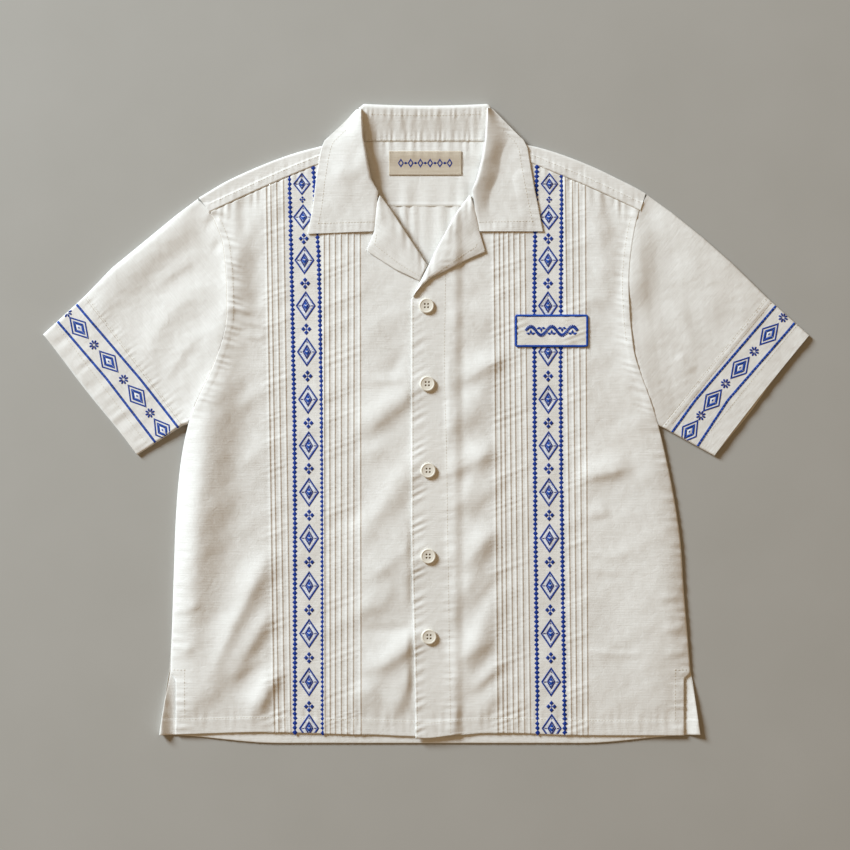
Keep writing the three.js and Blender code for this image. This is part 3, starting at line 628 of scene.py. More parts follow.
def front_under(x, y):
    """Height of the fronts' underside over the back."""
    side = np.where(x < 0, x - read(SIDE_LEFT, y), read(SIDE_RIGHT, y) - x)
    reach = clamp(side / SIDE_ROUND)
    rise = mix(np.sqrt(1 - (1 - reach) ** 2), 1, ease((y + 60) / 90))
    hem = mix(0.45, 1, ease((y + 364) / 45))
    neck = 1.7 * np.exp(-((x / 75) ** 2) - ((y - 235) / 60) ** 2)
    loft = BODY_LOFT + fold_height(BODY_FOLDS, x, y) + neck
    button_strip = ease((x + 22) / 8) * ease((28 - x) / 8)
    small = 0.35 * ripple(x, y, 42, 11) + 0.14 * ripple(x, y, 15, 12)
    small = small * mix(1, 0.25, button_strip) + creased(x, y) * (1 - button_strip)
    return LAYER + np.maximum(0.1, rise * hem * (loft + small))


def folded_rows(low, fold, high, low_under, high_under, counts):
    """Outer and inner rows of cloth folded over an edge: each row runs from `low` to `fold`, goes
    round it and returns above to `high`. The three are plan points, one for each row."""
    low, fold, high = (np.asarray(p, float) for p in (low, fold, high))
    low_z = low_under(fold[:, 0], fold[:, 1])
    high_z = high_under(fold[:, 0], fold[:, 1]) + CLOTH
    half = (high_z - low_z) / 2
    out = (fold - high) / np.linalg.norm(fold - high, axis=1)[:, None]
    centre = fold - out * half[:, None]
    outer, inner = [], []
    for t in np.linspace(0, 1, counts[0]):
        x, y = mix(low, centre, t).T
        z = mix(low_under(x, y), low_z, t)
        outer.append(grid_of(x, y, z))
        inner.append(grid_of(x, y, z + CLOTH))
    for angle in (np.arange(1, ROUND_STEPS) / ROUND_STEPS - 0.5) * math.pi:
        for radius, side in ((half, outer), (half - CLOTH, inner)):
            x, y = (centre + out * (radius * math.cos(angle))[:, None]).T
            side.append(grid_of(x, y, low_z + half + radius * math.sin(angle)))
    for t in np.linspace(0, 1, counts[1]):
        x, y = mix(centre, high, t).T
        edge = np.linalg.norm(centre - high, axis=1) * (1 - t)
        outer.append(grid_of(x, y, high_under(x, y) + CLOTH - lift_edge(edge)))
        inner.append(grid_of(x, y, high_under(x, y)))
    return np.stack(outer, axis=1), np.stack(inner, axis=1)


def yoke_under(x, y):
    """The yoke lies on the surface but rises over the collar's hidden fall at the neck."""
    return LAYER * ease((y - 298) / 16) * ease((128 - np.abs(x)) / 10)


SHOULDER_RAISE = 0.7


def shoulder_waver(side, x):
    """Puckers along the topstitching of a shoulder seam."""
    return 0.28 * waver(x, 7.5, 21 + side)


def seam_raise(distance, width, height):
    """A seam allowance pressed under a strip of the given width along a seam."""
    return height * (1 - ease((distance - width) / 1.6))


def shoulder(fold_line, seam_line, side):
    """The yoke's part over one shoulder: from under the neck, round the shoulder's edge and down to
    the seam with the front."""
    t = np.linspace(0, 1, 90)
    order = -side  # from the sleeve to the neck
    x = mix(fold_line[::order][0][0] - side, fold_line[::order][-1][0], t)
    seam_x = mix(seam_line[::order][0][0] - side * 0.5, seam_line[::order][-1][0], t)
    seam_y = read(seam_line, seam_x, by=0) + SEAM

    def over(px, py):
        down = py - read(seam_line, px, by=0)
        puckers = shoulder_waver(side, px) * bell(down - 9, 7)
        return front_under(px, py) + seam_raise(down, 10, SHOULDER_RAISE) + puckers

    return shell(
        *folded_rows(
            np.stack([x - side * 8 * (1 - t), 0 * t + BACK_YOKE_SEAM], axis=1),
            np.stack([x, read(fold_line, x, by=0)], axis=1),
            np.stack([seam_x, seam_y], axis=1),
            yoke_under,
            over,
            (6, 22),
        )
    )


def neck_floor(x, y):
    """Top of the yoke inside the neck: soft gathers below the neck seam."""
    gathers = 0.6 * waver(x, 11, 31) * bell(y - NECK_SEAM, 16)
    eased = 0.6 * waver(x, 21, 32) * bell(y - 262, 20)
    return yoke_under(x, y) + CLOTH + gathers + eased + 0.5 * ease((BACK_YOKE_SEAM + 4 - y) / 2)


NECK_HALF = 107  # half of the yoke's width between the shoulders
x, y = np.meshgrid(
    np.linspace(-NECK_HALF, NECK_HALF, 110), np.linspace(NECK_SEAM, BACK_YOKE_SEAM, 50)
)
slab = grid_of(x, y, neck_floor(x, y) - lift_edge(y - BACK_YOKE_SEAM))
x, y = np.meshgrid(
    np.linspace(-NECK_HALF, NECK_HALF, 12), np.linspace(NECK_SEAM, BACK_YOKE_SEAM, 12)
)
yoke = cloth_object(
    "yoke_cloth",
    [
        shell(slab, grid_of(x, y, yoke_under(x, y))),
        shoulder(SHOULDER_LEFT, SHOULDER_SEAM_LEFT, -1),
        shoulder(SHOULDER_RIGHT, SHOULDER_SEAM_RIGHT, 1),
    ],
    ivory_cloth,
)
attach(yoke, "root")
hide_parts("yoke")

# ---- Fronts ----
# Two pintucked panels. Each tuck is a pinch of cloth stitched along its fold and pressed outwards.
# The right front laps over the left at the placket, and both hems are turned and topstitched.
PLACKET_WIDTH = 39
BUTTON_SEATS = [  # x, y and the height of each button's seat
    (1, 137, 8.06), (2, 46, 8.43), (3, -55, 8.4), (3, -155, 8.33), (4, -249, 8.27),
]
seat_rises = []  # how far the placket is drawn up at each, filled in below
TUCK_HEIGHT = 0.46
TUCKS_LEFT = [  # x of each tuck at the chest and at the hem
    (-186, -177), (-181, -172), (-174, -165), (-166, -158), (-119, -118), (-113, -112),
    (-106, -106), (-99, -99), (-91, -92), (-84, -85), (-77, -76),
]
TUCKS_RIGHT = [
    (79, 84), (85, 90), (90, 95), (96, 102), (102, 108), (109, 115), (115, 122), (163, 170),
    (171, 176), (178, 183), (186, 189),
]
TUCK_CHEST, TUCK_HEM = 240, -364
TUCK_PROFILE = [  # across a tuck, and the share of its height there
    (-2.6, 0), (-1.5, 0.45), (-0.6, 0.92), (-0.2, 1), (0.25, 0.8), (0.8, 0), (1.2, 0), (1.8, 0),
]
# Painted shade: the lines at these offsets across a tuck are coloured a warm brown for the shadow at
# its foot.
GROOVE = (0.8, 1.2)  # where its foot is browned
GROOVE_MARK = 10  # added to the share of a line in the groove
BAND_GAP = 12  # tucks farther apart than this leave room for a band
FRONT_HEIGHT = 600
TOP_LEFT = [
    (-252, 247), (-192, 274), (-146, 294), (-112, 307), (-84, 300), (-62, 270), (-55, 262),
    (-41, 247), (-24, 221), (-8, 197), (2, 182), (24, 168),
]
TOP_RIGHT = [
    (-16, 145), (-9, 158), (3, 180), (18, 210), (38, 246), (52, 262), (60, 272), (84, 300),
    (110, 309), (157, 290), (186, 278), (250, 249),
]
HEM_FOLD = 0.7
OVERLAP_LIFT = LAYER + 0.8


def hem_left(x):
    return -364 + 3 * bell(x + 190, 70) - 2 * ease((x + 70) / 60)


def hem_right(x):
    return mix(-368, -365, ease(x / 40)) + 3 * bell(x - 90, 60)


def placket_stitch_x(y):
    return np.interp(y, [-364, -20, 45, 104, 173], [29, 24, 22, 22, 23])


def placket_edge_x(y):
    return -17 + 5 * ease((-y - 100) / 268)


def right_under(x, y):
    """The right front lies over the left one behind the placket, and is drawn up to the buttons."""
    lap = OVERLAP_LIFT + HEM_FOLD * ease((-364 + HEM_DEPTH - y) / 3)
    drawn = 0
    for (cx, cy, _), rise in zip(BUTTON_SEATS, seat_rises):
        drawn = drawn + rise * np.exp(-(((x - cx) / 14) ** 2) - ((y - cy) / 16) ** 2)
    return front_under(x, y) + lap * ease((PLACKET_WIDTH + 6 - x) / 12) + drawn


def worked(side, x, y):
    """What sewing does to a front's face: the turned hem, pressed seams and their puckers."""
    left = side < 0
    edge_line, vent = (SIDE_LEFT, VENT_LEFT) if left else (SIDE_RIGHT, VENT_RIGHT)
    hem = hem_left(x) if left else hem_right(x)
    top = read(TOP_LEFT if left else TOP_RIGHT, x, by=0)
    from_side = np.abs(x - side_x(edge_line, vent, y))
    armhole = ease((y + 10) / 40)
    total = 0.55 * ease((hem + HEM_DEPTH - y) / 3)
    total = total + 0.28 * waver(x, 11, 41 + side) * bell(y - hem - HEM_DEPTH, 11)
    total = total + 0.16 * waver(x, 8, 43 + side) * bell(y - hem - 4, 8)
    total = total + 0.55 * waver(x, 10.5, 45 + side) * bell(top - y, 15)
    total = total + armhole * 0.4 * (1 - ease((from_side - 5.5) / 5))
    total = total + armhole * 0.62 * waver(y + 0.3 * x, 9, 47 + side) * bell(from_side - 9, 9)
    total = total + (1 - armhole) * 0.42 * waver(y, 13, 49 + side) * bell(from_side, 14)
    vent_part = ease((VENT_TOP + 6 - y) / 6)
    total = total + vent_part * seam_raise(from_side, 10, 0.25)
    total = total + vent_part * 0.25 * waver(y, 8, 51 + side) * bell(from_side - 9, 7)
    if not left:
        from_stitch = x - placket_stitch_x(y)
        total = total + 0.32 * waver(y, 10, 53) * bell(from_stitch, 8)
        total = total + 0.55 * waver(y - 0.4 * x, 11, 54) * bell(x + 9, 8)
    groups = [(-176, 15), (-98, 24)] if left else [(97, 22), (175, 15)]
    tucked = sum(np.exp(-(((x - middle) / half) ** 6)) for middle, half in groups)
    ladder = np.abs(waver(y - 0.35 * x, 13, 55 + side)) ** 1.5 + 0.3 * waver(y + 0.6 * x, 8, 58)
    total = total + 0.62 * tucked * ladder
    return total


def front_face(side, x, y):
    under = front_under if side < 0 else right_under
    return under(x, y) + CLOTH + worked(side, x, y)


for x, y, z in BUTTON_SEATS:
    seat_rises.append(z - float(front_face(1, x, y)))


def front_lines(side, tucks, side_edge, centre_x, fine):
    """Lines down a front from its side to its centre edge, as functions of y, with the share of
    the tuck's height that each carries."""
    ordered, profile = tucks[::-side], TUCK_PROFILE[::-side]

    def tuck_x(tuck, offset):
        return lambda y: mix(tuck[1], tuck[0], (y - TUCK_HEM) / (TUCK_CHEST - TUCK_HEM)) + offset

    def between(a, b, shares):
        return [(lambda y, t=t: mix(a(y), b(y), t), 0) for t in shares]

    start = [0, 0.003, 0.009, 0.018, 0.032, 0.05] if fine else [0, 0.03]
    count = (42, 20, 40) if fine else (18, 6, 16)
    shares = [*start, *np.linspace(0.07, 1, count[0])[:-1]]
    lines = between(side_edge, tuck_x(ordered[0], profile[0][0]), shares)
    for i, tuck in enumerate(ordered):
        if i:
            gap = abs(tuck[1] - ordered[i - 1][1])
            shares = np.linspace(0, 1, (count[1] if gap > BAND_GAP else 3) + 1)[1:-1]
            lines += between(
                tuck_x(ordered[i - 1], profile[-1][0]), tuck_x(tuck, profile[0][0]),
                shares if fine or gap > BAND_GAP else [],
            )
        if fine:
            for offset, share in profile:
                lines.append((tuck_x(tuck, offset), share + GROOVE_MARK * (offset in GROOVE)))
        else:
            lines.append((tuck_x(tuck, 0), 0))
    end = [0.99, 0.997, 1] if fine else [1]
    shares = [*np.linspace(0, 0.975, count[2])[1:], *end]
    return lines + between(tuck_x(ordered[-1], profile[-1][0]), centre_x, shares)


def front_grid(top, hem, lines, shares, height):
    columns = []
    for line_x, share in lines:
        y = 0.0
        for _ in range(10):
            y = float(read(top, line_x(y), by=0)) - SEAM
        foot = float(hem(line_x(TUCK_HEM)))
        down = mix(y, foot, shares)
        columns.append(grid_of(line_x(down), down, share))
    grid = np.stack(columns, axis=1)
    x, y, raise_share = grid[..., 0], grid[..., 1], grid[..., 2]
    edge = np.minimum(shares, 1 - shares)[:, None] * FRONT_HEIGHT
    return grid_of(x, y, height(x, y, raise_share, edge))


def add_front(name, side, tucks, top, hem, side_edge, centre_x, under):
    fine = front_lines(side, tucks, side_edge, centre_x, True)
    coarse = front_lines(side, tucks, side_edge, centre_x, False)
    shares = np.concatenate([near_edge, np.linspace(0.007, 0.955, 290),
                             np.linspace(0.958, 0.996, 16), 1 - near_edge[::-1]])

    def face(x, y, raised, edge):
        nearest = np.minimum(np.minimum(edge, np.abs(x - centre_x(y))), np.abs(x - side_edge(y)))
        fade = ease((hem(x) + HEM_DEPTH + 2 - y) / 3) * 0.25
        tuck = TUCK_HEIGHT * (raised - GROOVE_MARK * (raised >= GROOVE_MARK)) * (1 - fade)
        return front_face(side, x, y) + tuck - lift_edge(nearest)

    outer = front_grid(top, hem, fine, shares, face)
    inner = front_grid(
        top, hem, coarse, shares[::4],
        lambda x, y, raised, edge: under(x, y) - 0.3 * (edge > 4),
    )
    piece = cloth_object(name, [shell(outer, inner)], ivory_cloth)
    # Painted shade: the groove lines at the foot of each tuck are marked for a warm brown, a little
    # uneven along the tuck, standing for the fold's shadow.
    painted_groove_shade = np.zeros((len(piece.data.vertices),))
    strength = 0.8 + 0.2 * waver(outer[..., 1], 5, 57)
    in_groove = [share >= GROOVE_MARK for _, share in fine]
    painted_groove_shade[: outer[..., 0].size] = (strength * in_groove).ravel()
    piece.data.attributes.new("groove", "FLOAT", "POINT").data.foreach_set("value", painted_groove_shade)
    return piece


front_left = add_front(
    "front_left_cloth", -1, TUCKS_LEFT, TOP_LEFT, hem_left,
    lambda y: side_x(SIDE_LEFT, VENT_LEFT, y), lambda y: 23 + 0 * y, front_under,
)
front_right = add_front(
    "front_right_cloth", 1, TUCKS_RIGHT, TOP_RIGHT, hem_right,
    lambda y: side_x(SIDE_RIGHT, VENT_RIGHT, y), placket_edge_x, right_under,
)
for piece, node in ((front_left, "front_left"), (front_right, "front_right")):
    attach(piece, "root")
    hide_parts(node)

# ---- Lapels ----
# The front facings, turned back along the roll line and pressed, topstitched near their free edge.
LAPEL_CROWN = 1.9
LAPEL_DROP = 4.2
LAPEL_LEFT = (
    [(-54, 265), (-41, 247), (-24, 221), (-8, 197), (1, 183)],
    [(-57, 256), (-60, 224), (-69, 202), (-66, 199), (-35, 179), (-7, 166)],
)
LAPEL_RIGHT = (
    [(52, 265), (38, 246), (18, 210), (3, 180), (-9, 158), (-14, 149)],
    [(58, 250), (63, 223), (70, 200), (49, 191), (24, 178), (7, 170), (-11, 154)],
)


def along(points, shares):
    """Points at shares of a polyline's length."""
    points = np.array(points, float)
    length = np.concatenate([[0], np.cumsum(np.linalg.norm(np.diff(points, axis=0), axis=1))])
    at = np.asarray(shares) * length[-1]
    return np.stack([np.interp(at, length, points[:, k]) for k in (0, 1)], axis=-1)


ROLL_WRAP = 1.6  # how far a rolled edge stands out past the line that it turns on


def rolled_panel(roll_points, edge_points, height, drop):
    """A facing from its rolled inner edge to its free edge: grids of its outer and inner faces. The
    roll turns down by `drop` at the inner edge."""
    u = np.concatenate([near_edge * 8, np.linspace(0.04, 0.96, 50), 1 - near_edge[::-1] * 8])
    roll, edge = along(roll_points, u), along(edge_points, u)
    outer, inner = [], []
    turns = np.linspace(-0.5, 0.42, 9) * math.pi
    across = np.concatenate([np.linspace(0, 0.97, 34), [0.985, 1]])
    out = (roll - edge) / np.linalg.norm(roll - edge, axis=1)[:, None]
    reach = np.linalg.norm(roll - edge, axis=1)
    for turn in turns:
        base = height(roll[:, 0], roll[:, 1], 0 * u)
        for radius, side in ((1.0, outer), (0.45, inner)):
            x, y = (roll + out * ROLL_WRAP * math.cos(turn) * radius).T
            side.append(grid_of(x, y, base - drop / 2 + drop / 2 * radius * math.sin(turn)))
    for share in across:
        x, y = mix(roll, edge, share).T
        z = height(x, y, share + 0 * u)
        ends = np.minimum(u, 1 - u) * 90
        outer.append(grid_of(x, y, z - lift_edge(np.minimum(reach * (1 - share), ends))))
        inner.append(grid_of(x, y, z - CLOTH))
    return np.stack(outer, axis=1), np.stack(inner, axis=1)


def lapel_height(side, x, y, share):
    """Top of a lapel at a share of the way from its roll to its free edge."""
    crown = LAPEL_CROWN * np.sin(math.pi * clamp(1 - 0.9 * share)) ** 0.7 + 0.9 * (1 - share)
    puckers = 0.3 * waver(x + y, 8, 61 + side) * bell(share - 0.8, 0.25)
    soft = ripple(x, y, 30, 63 + side) * share * (1 - share)
    rest = front_face(side, x, y) + SEAM + CLOTH
    return rest + crown + puckers + soft + 0.4 * ease((y - 215) / 20)


def add_lapel(name, side, lines):
    outer, inner = rolled_panel(
        *lines, lambda x, y, share: lapel_height(side, x, y, share), LAPEL_DROP
    )
    piece = cloth_object(
        name + "_cloth", [shell(outer, inner)], ivory_cloth, grain=(0.8, 0.6 * side)
    )
    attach(piece, "root")
    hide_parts(name)


add_lapel("lapel_left", -1, LAPEL_LEFT)
add_lapel("lapel_right", 1, LAPEL_RIGHT)

# ---- Collar ----
# A one-piece camp collar of doubled cloth. It stands up from the neck seam, rolls over and lies on
# the fronts as two pointed leaves; behind the neck its fall is hidden under the yoke.
COLLAR_TOP = 371
COLLAR_FALL = 50
COLLAR_STAND = 42
COLLAR_ROLL = 6.8
COLLAR_CLOTH = 1.4
LEAF_LEFT = (  # its outer edge and its roll line, from the top down
    [(-81, 366), (-97, 350), (-118, 330), (-121, 323), (-124, 310), (-128, 285), (-132, 251),
     (-138, 221)],
    [(-75, 366), (-73, 333), (-69, 311), (-64, 285), (-56, 270), (-58, 250), (-59.5, 234),
     (-61, 224)],
)
LEAF_RIGHT = (
    [(78, 367), (97, 348), (114, 331), (119, 322), (123, 297), (126, 280), (130, 260), (137, 224)],
    [(72, 367), (70, 333), (66, 308), (60, 285), (55, 272), (58, 251), (61, 234), (63.5, 224)],
)


LEAF_CREASES = [  # as for the body
    ([(104, 352), (88, 300), (78, 254), (70, 228)], 17, 13, -3.4),
    ([(-96, 352), (-100, 300), (-96, 240)], 16, 12, 0.8),
    ([(-76, 345), (-84, 300), (-78, 250)], 8, 9, -0.9),
    ([(-112, 300), (-90, 292), (-66, 296)], 8, 8, 0.4),
    ([(96, 300), (112, 280), (124, 250)], 9, 8, 0.9),
]


leaf_creased = mapped(LEAF_CREASES, (-150, 150, 210, 385))


def leaf_point(side, lines, u, share, edge=0):
    """Points on a leaf's face, at a share u down it and a share of the way from its outer edge (or
    `edge` mm inside that) to its roll."""
    outer_line, roll_line = along(lines[0], u), along(lines[1], u)
    reach = np.linalg.norm(outer_line - roll_line, axis=-1)
    share = share + edge / reach
    x, y = mix(outer_line, roll_line, np.asarray(share)[..., None]).T
    rest = front_under(x, y) + CLOTH + TUCK_HEIGHT + SEAM
    flattened = mix(1, 0.06, ease((u - (0.4 if side < 0 else 0.5)) / 0.46))
    rise = COLLAR_ROLL * np.sin(math.pi / 2 * clamp(share) ** 1.5) * flattened
    bent = leaf_creased(x, y) * np.sin(math.pi * clamp(share)) ** 0.6
    soft = 1.5 * ripple(x, y, 46, 71 + side) * share * (1 - share)
    pucker = 0.2 * waver(y + 0.2 * x, 8, 73 + side) * bell(share * reach - 7, 6)
    foot = 0.22 * waver(x, 8, 75 + side) * bell((1 - u) * 150 - 7, 6)
    return grid_of(x, y, rest + np.maximum(0, rise + bent) + COLLAR_CLOTH + soft + pucker + foot)


def leaf_wall(side, lines):
    u = np.concatenate([near_edge * 6, np.linspace(0.03, 0.97, 110), 1 - near_edge[::-1] * 6])
    outer_line, roll_line = along(lines[0], u), along(lines[1], u)
    out = (outer_line - roll_line) / np.linalg.norm(outer_line - roll_line, axis=1)[:, None]
    wrapped = 1 - ease((u - 0.27) / 0.05)  # the leaf goes round to the back above the shoulder
    outer, inner = [], []
    base = leaf_point(side, lines, u, 0 * u)[:, 2]
    drop = mix(COLLAR_CLOTH, base - 0.1, wrapped)
    swell = mix(0.5, drop / 2, wrapped)
    for turn in np.linspace(-0.5, 0.4, 8) * math.pi:
        for radius, rows in ((1.0, outer), (0.5, inner)):
            x, y = (outer_line + out * (swell * (math.cos(turn) * radius - 1))[:, None]).T
            rows.append(grid_of(x, y, base - drop / 2 + drop / 2 * radius * math.sin(turn)))
    for share in np.concatenate([[0.02, 0.05], np.linspace(0.09, 0.95, 56)]):
        face = leaf_point(side, lines, u, share + 0 * u)
        outer.append(face)
        inner.append(face - np.array([0, 0, COLLAR_CLOTH]))
    crest = leaf_point(side, lines, u, 1 + 0 * u)[:, 2]
    high_roll = 1 - ease((u - 0.56) / 0.12)
    deep = mix(1.6, crest - 5.5, high_roll)
    for turn in np.linspace(0.4, -0.5, 10) * math.pi:
        for radius, rows in ((1.0, outer), (0.55, inner)):
            wide, back = mix(0.7, 1.8, high_roll), mix(0.1, 1.2, high_roll)
            x, y = (roll_line - out * (wide * math.cos(turn) * radius - back)[:, None]).T
            rows.append(grid_of(x, y, crest - deep / 2 + deep / 2 * radius * math.sin(turn)))
    return shell(np.stack(outer, axis=1), np.stack(inner, axis=1))


def stand_under(x, y):
    rise = mix(LAYER + 0.2, 7.6, ease((y - NECK_SEAM) / COLLAR_STAND))
    up = clamp((y - NECK_SEAM) / COLLAR_STAND)
    vertical = 0.35 * waver(x, 15, 81) * np.sin(math.pi * up) ** 0.6
    stitched = 0.4 * waver(x, 7, 83) * bell(y - 361, 6)
    seam = 0.45 * waver(x, 7, 85) * bell(y - NECK_SEAM - 5, 7)
    return rise + vertical + stitched + seam


x = np.linspace(-78, 75.5, 120)
stand_top = COLLAR_TOP + 2.2 * (np.abs(x) / 75) ** 2 - 5 * ease((np.abs(x) - 71) / 8)
stand = shell(
    *folded_rows(
        np.stack([x, 0 * x + COLLAR_TOP - COLLAR_FALL], axis=1),
        np.stack([x, stand_top], axis=1),
        np.stack([x, 0 * x + NECK_SEAM + SEAM], axis=1),
        lambda px, py: 0 * px,
        stand_under,
        (6, 40),
    )
)
collar = cloth_object(
    "collar_cloth", [stand, leaf_wall(-1, LEAF_LEFT), leaf_wall(1, LEAF_RIGHT)], ivory_cloth
)
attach(collar, "root")
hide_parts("collar")

# ---- Sleeves and cuffs ----
# Short set-in sleeves, each a flattened tube, felled into the armhole. A separate straight band,
# stitched on at the cuff seam, carries the embroidery and pulls small pleats into the sleeve.
SLEEVE_LOFT = 1.6
SLEEVE_FOLDS = [  # x0, y0, x1, y1 of the crest, half width, height
    (-285, 222, -372, 142, 16, 2),
    (-262, 150, -318, 88, 16, 1.6),
    (-250, 100, -284, 50, 14, 1.2),
    (-268, 245, -242, 175, 11, -0.7),
    (262, 240, 266, 130, 13, -1.2),
    (292, 205, 372, 132, 18, 1.9),
    (262, 120, 300, 52, 15, 1.5),
]
CUFF_SAG = 1.5
SLEEVES = {  # ends of the cuff seam are top and bottom, ends of the open edge tip and heel
    "left": dict(
        side=-1, edge=SIDE_LEFT,
        fold=[(-266, 262.5), (-293, 242), (-327, 214), (-365, 183), (-398, 149)],
        top=(-399, 148), bottom=(-284, -3), tip=(-447, 104), heel=(-337, -37),
        felled=0, cap=0.3, under_ply=(0.55, 0.3, 2.4),
    ),
    "right": dict(
        side=1, edge=SIDE_RIGHT,
        fold=[(258, 267.5), (288, 246), (324, 217), (357, 188), (399, 147)],
        top=(400, 146), bottom=(277, -5), tip=(448, 103), heel=(337, -38),
        felled=0.5, cap=1.0, under_ply=(0.35, 0.24, 3.2),
    ),
}


def cuff_frame(sleeve, x, y):
    """Distance outwards from the cuff seam and along it from its lower end."""
    bottom, top = np.array(sleeve["bottom"], float), np.array(sleeve["top"], float)
    run = (top - bottom) / np.linalg.norm(top - bottom)
    out = np.array([run[1], -run[0]]) * sleeve["side"]
    px, py = x - bottom[0], y - bottom[1]
    return px * out[0] + py * out[1], px * run[0] + py * run[1]


def sleeve_under(x, y):
    small = 0.3 * ripple(x, y, 38, 91) + 0.12 * ripple(x, y, 14, 92) + creased(x, y)
    loft = SLEEVE_LOFT + fold_height(SLEEVE_FOLDS, x, y) + small
    return LAYER + (loft + np.hypot(loft, 0.8)) / 2  # a trough flattens gently on the under ply


def sleeve_face(sleeve, x, y):
    """Top of the sleeve or cuff, without its thickness."""
    away, run = cuff_frame(sleeve, x, y)
    pleats = 0.5 * waver(run, 5.6, 93 + sleeve["side"]) * bell(away + 3, 9)
    band = 0.26 * waver(run, 13, 95 + sleeve["side"]) * bell(away - 50, 12)
    mouth = 0.28 * waver(run, 24, 97 + sleeve["side"]) * ease((away - 20) / 30)
    felled = sleeve["felled"] * ease((away + 1) / 2) * (1 - ease((away - 4.5) / 1.5))
    off = (x - read(sleeve["edge"], y)) * sleeve["side"]
    cap = sleeve["cap"] * bell(off, 6) * ease((y - 20) / 30) * (1 + 0.25 * waver(y, 9, 99))
    return sleeve_under(x, y) + pleats + band + mouth + felled + cap


def flat_loops(lines, face, top_count, under_ply):
    """Loops of points round a tube lying flat, from plan lines that run from its under-arm fold to
    its top fold. Returns the outer and inner loops. The under ply reaches beyond the last line, as
    under_ply says: where along the line, how widely, and how far."""
    middle, spread, far = under_ply
    beyond = (lines[-1] - lines[0]) / np.linalg.norm(lines[-1] - lines[0], axis=1)[:, None]
    first, last = lines[:, 0], lines[:, -1]
    width = np.linalg.norm(last - first, axis=1)
    across = (last - first) / width[:, None]
    ends = []
    for point, sign in ((last, 1), (first, -1)):
        half = (face(point[:, 0], point[:, 1]) + CLOTH) / 2
        ends.append((point, across * sign, half))
    shares = np.linspace(0.98, 0.02, top_count)
    result = []
    for inset in (0, CLOTH):
        t = np.linspace(0.03, 0.97, 36)
        low = np.stack([lines_at(lines, s) for s in t], axis=1)
        reach = np.linspace(0, 1, len(lines))[:, None] ** 4 * far * bell(t - middle, spread)
        low = low + reach[..., None] * np.stack([lines_at(beyond[None], s)[0] for s in t])
        loop = [grid_of(low[..., 0], low[..., 1], inset)]
        point, out, half = ends[0]
        turns = np.linspace(-0.45, 0.45, 7) * math.pi
        loop.append(np.stack([bend(point, out, half, inset, a) for a in turns], axis=1))
        high = np.stack([lines_at(lines, s) for s in shares], axis=1)
        x, y = np.moveaxis(high, -1, 0)
        loop.append(grid_of(x, y, face(x, y) + CLOTH - inset))
        point, out, half = ends[1]
        loop.append(np.stack([bend(point, out, half, inset, a) for a in turns[::-1]], axis=1))
        result.append(np.concatenate(loop, axis=1))
    return result


def lines_at(lines, share):
    position = share * (lines.shape[1] - 1)
    i = min(int(position), lines.shape[1] - 2)
    return mix(lines[:, i], lines[:, i + 1], position - i)


def bend(point, out, half, inset, angle):
    """Points on the rounded fold at a tube's edge."""
    radius = half - inset
    x, y = (point + out * (radius * math.cos(angle) - half)[:, None]).T
    return grid_of(x, y, half + radius * math.sin(angle))


def add_tube(name, sleeve, lines, node, grain, under_ply=(0.5, 1, 0)):
    face = lambda px, py: sleeve_face(sleeve, px, py)
    outer, inner = flat_loops(np.array(lines), face, 84, under_ply)
    piece = cloth_object(name, [shell(outer, inner, closed=True)], ivory_cloth, grain=grain)
    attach(piece, "root")
    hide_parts(node)


for key, sleeve in SLEEVES.items():
    side, fold = sleeve["side"], np.array(sleeve["fold"])
    top, bottom = np.array(sleeve["top"], float), np.array(sleeve["bottom"], float)
    tip, heel = np.array(sleeve["tip"], float), np.array(sleeve["heel"], float)
    armhole_y = np.linspace(bottom[1] + 9, 246, 40)
    armhole = np.concatenate([
        [[read(sleeve["edge"], bottom[1] + 2) + 0.1 * side, bottom[1] + 2]],
        np.stack([read(sleeve["edge"], armhole_y) + 0.2 * side, armhole_y], axis=1),
        fold[:1],
    ])
    w = np.linspace(0, 1, 80)
    arm_line, seam_line = along(armhole, w), mix(bottom, top, w[:, None])
    rows = []
    for s in np.linspace(0, 1, 70):
        bow = along(fold, [s])[0] - mix(fold[0], fold[-1], s)
        rows.append(mix(arm_line, seam_line, s) + bow * w[:, None])
    run = (top - bottom) / np.linalg.norm(top - bottom)
    grain = (abs(run[0]), abs(run[1]) * side)
    add_tube(
        "sleeve_" + key + "_cloth", sleeve, rows, "sleeve_" + key, grain
    )
    rows = []
    open_line = mix(heel, tip, w[:, None])
    for s in np.linspace(0, 1, 34):
        sag = CUFF_SAG * np.sin(math.pi * w) * s
        line = mix(seam_line, open_line, s)
        line[:, 0] += side * (0.06 * (1 - s) - sag)
        rows.append(line)
    add_tube(
        "cuff_" + key + "_cloth", sleeve, rows, "cuff_" + key, grain,
        sleeve["under_ply"],
    )

# ---- Neck label ----
# A small rectangle of beige woven tape, its ends turned under, stitched to the yoke on all sides.
LABEL = (-43, 42, 290, 318)  # left, right, bottom and top
LABEL_STITCH = 2.2  # how far inside its edge
label_tape = woven("beige_woven_tape", "#D9CDBB", "#CFC2AE", thread=0.5, slub=0.3, crinkle=0.2)


def label_base(x, y):
    return neck_floor(x, y) + SEAM


def across_label(start, end, count):
    """Places from start to end across the label, close together at its edges."""
    way = np.sign(end - start)
    steps = way * np.array([0, 0.25, 0.7, 1.4])
    middle = np.linspace(start + way * 3, end - way * 3, count)
    return np.concatenate([start + steps, middle, end - steps[::-1]])


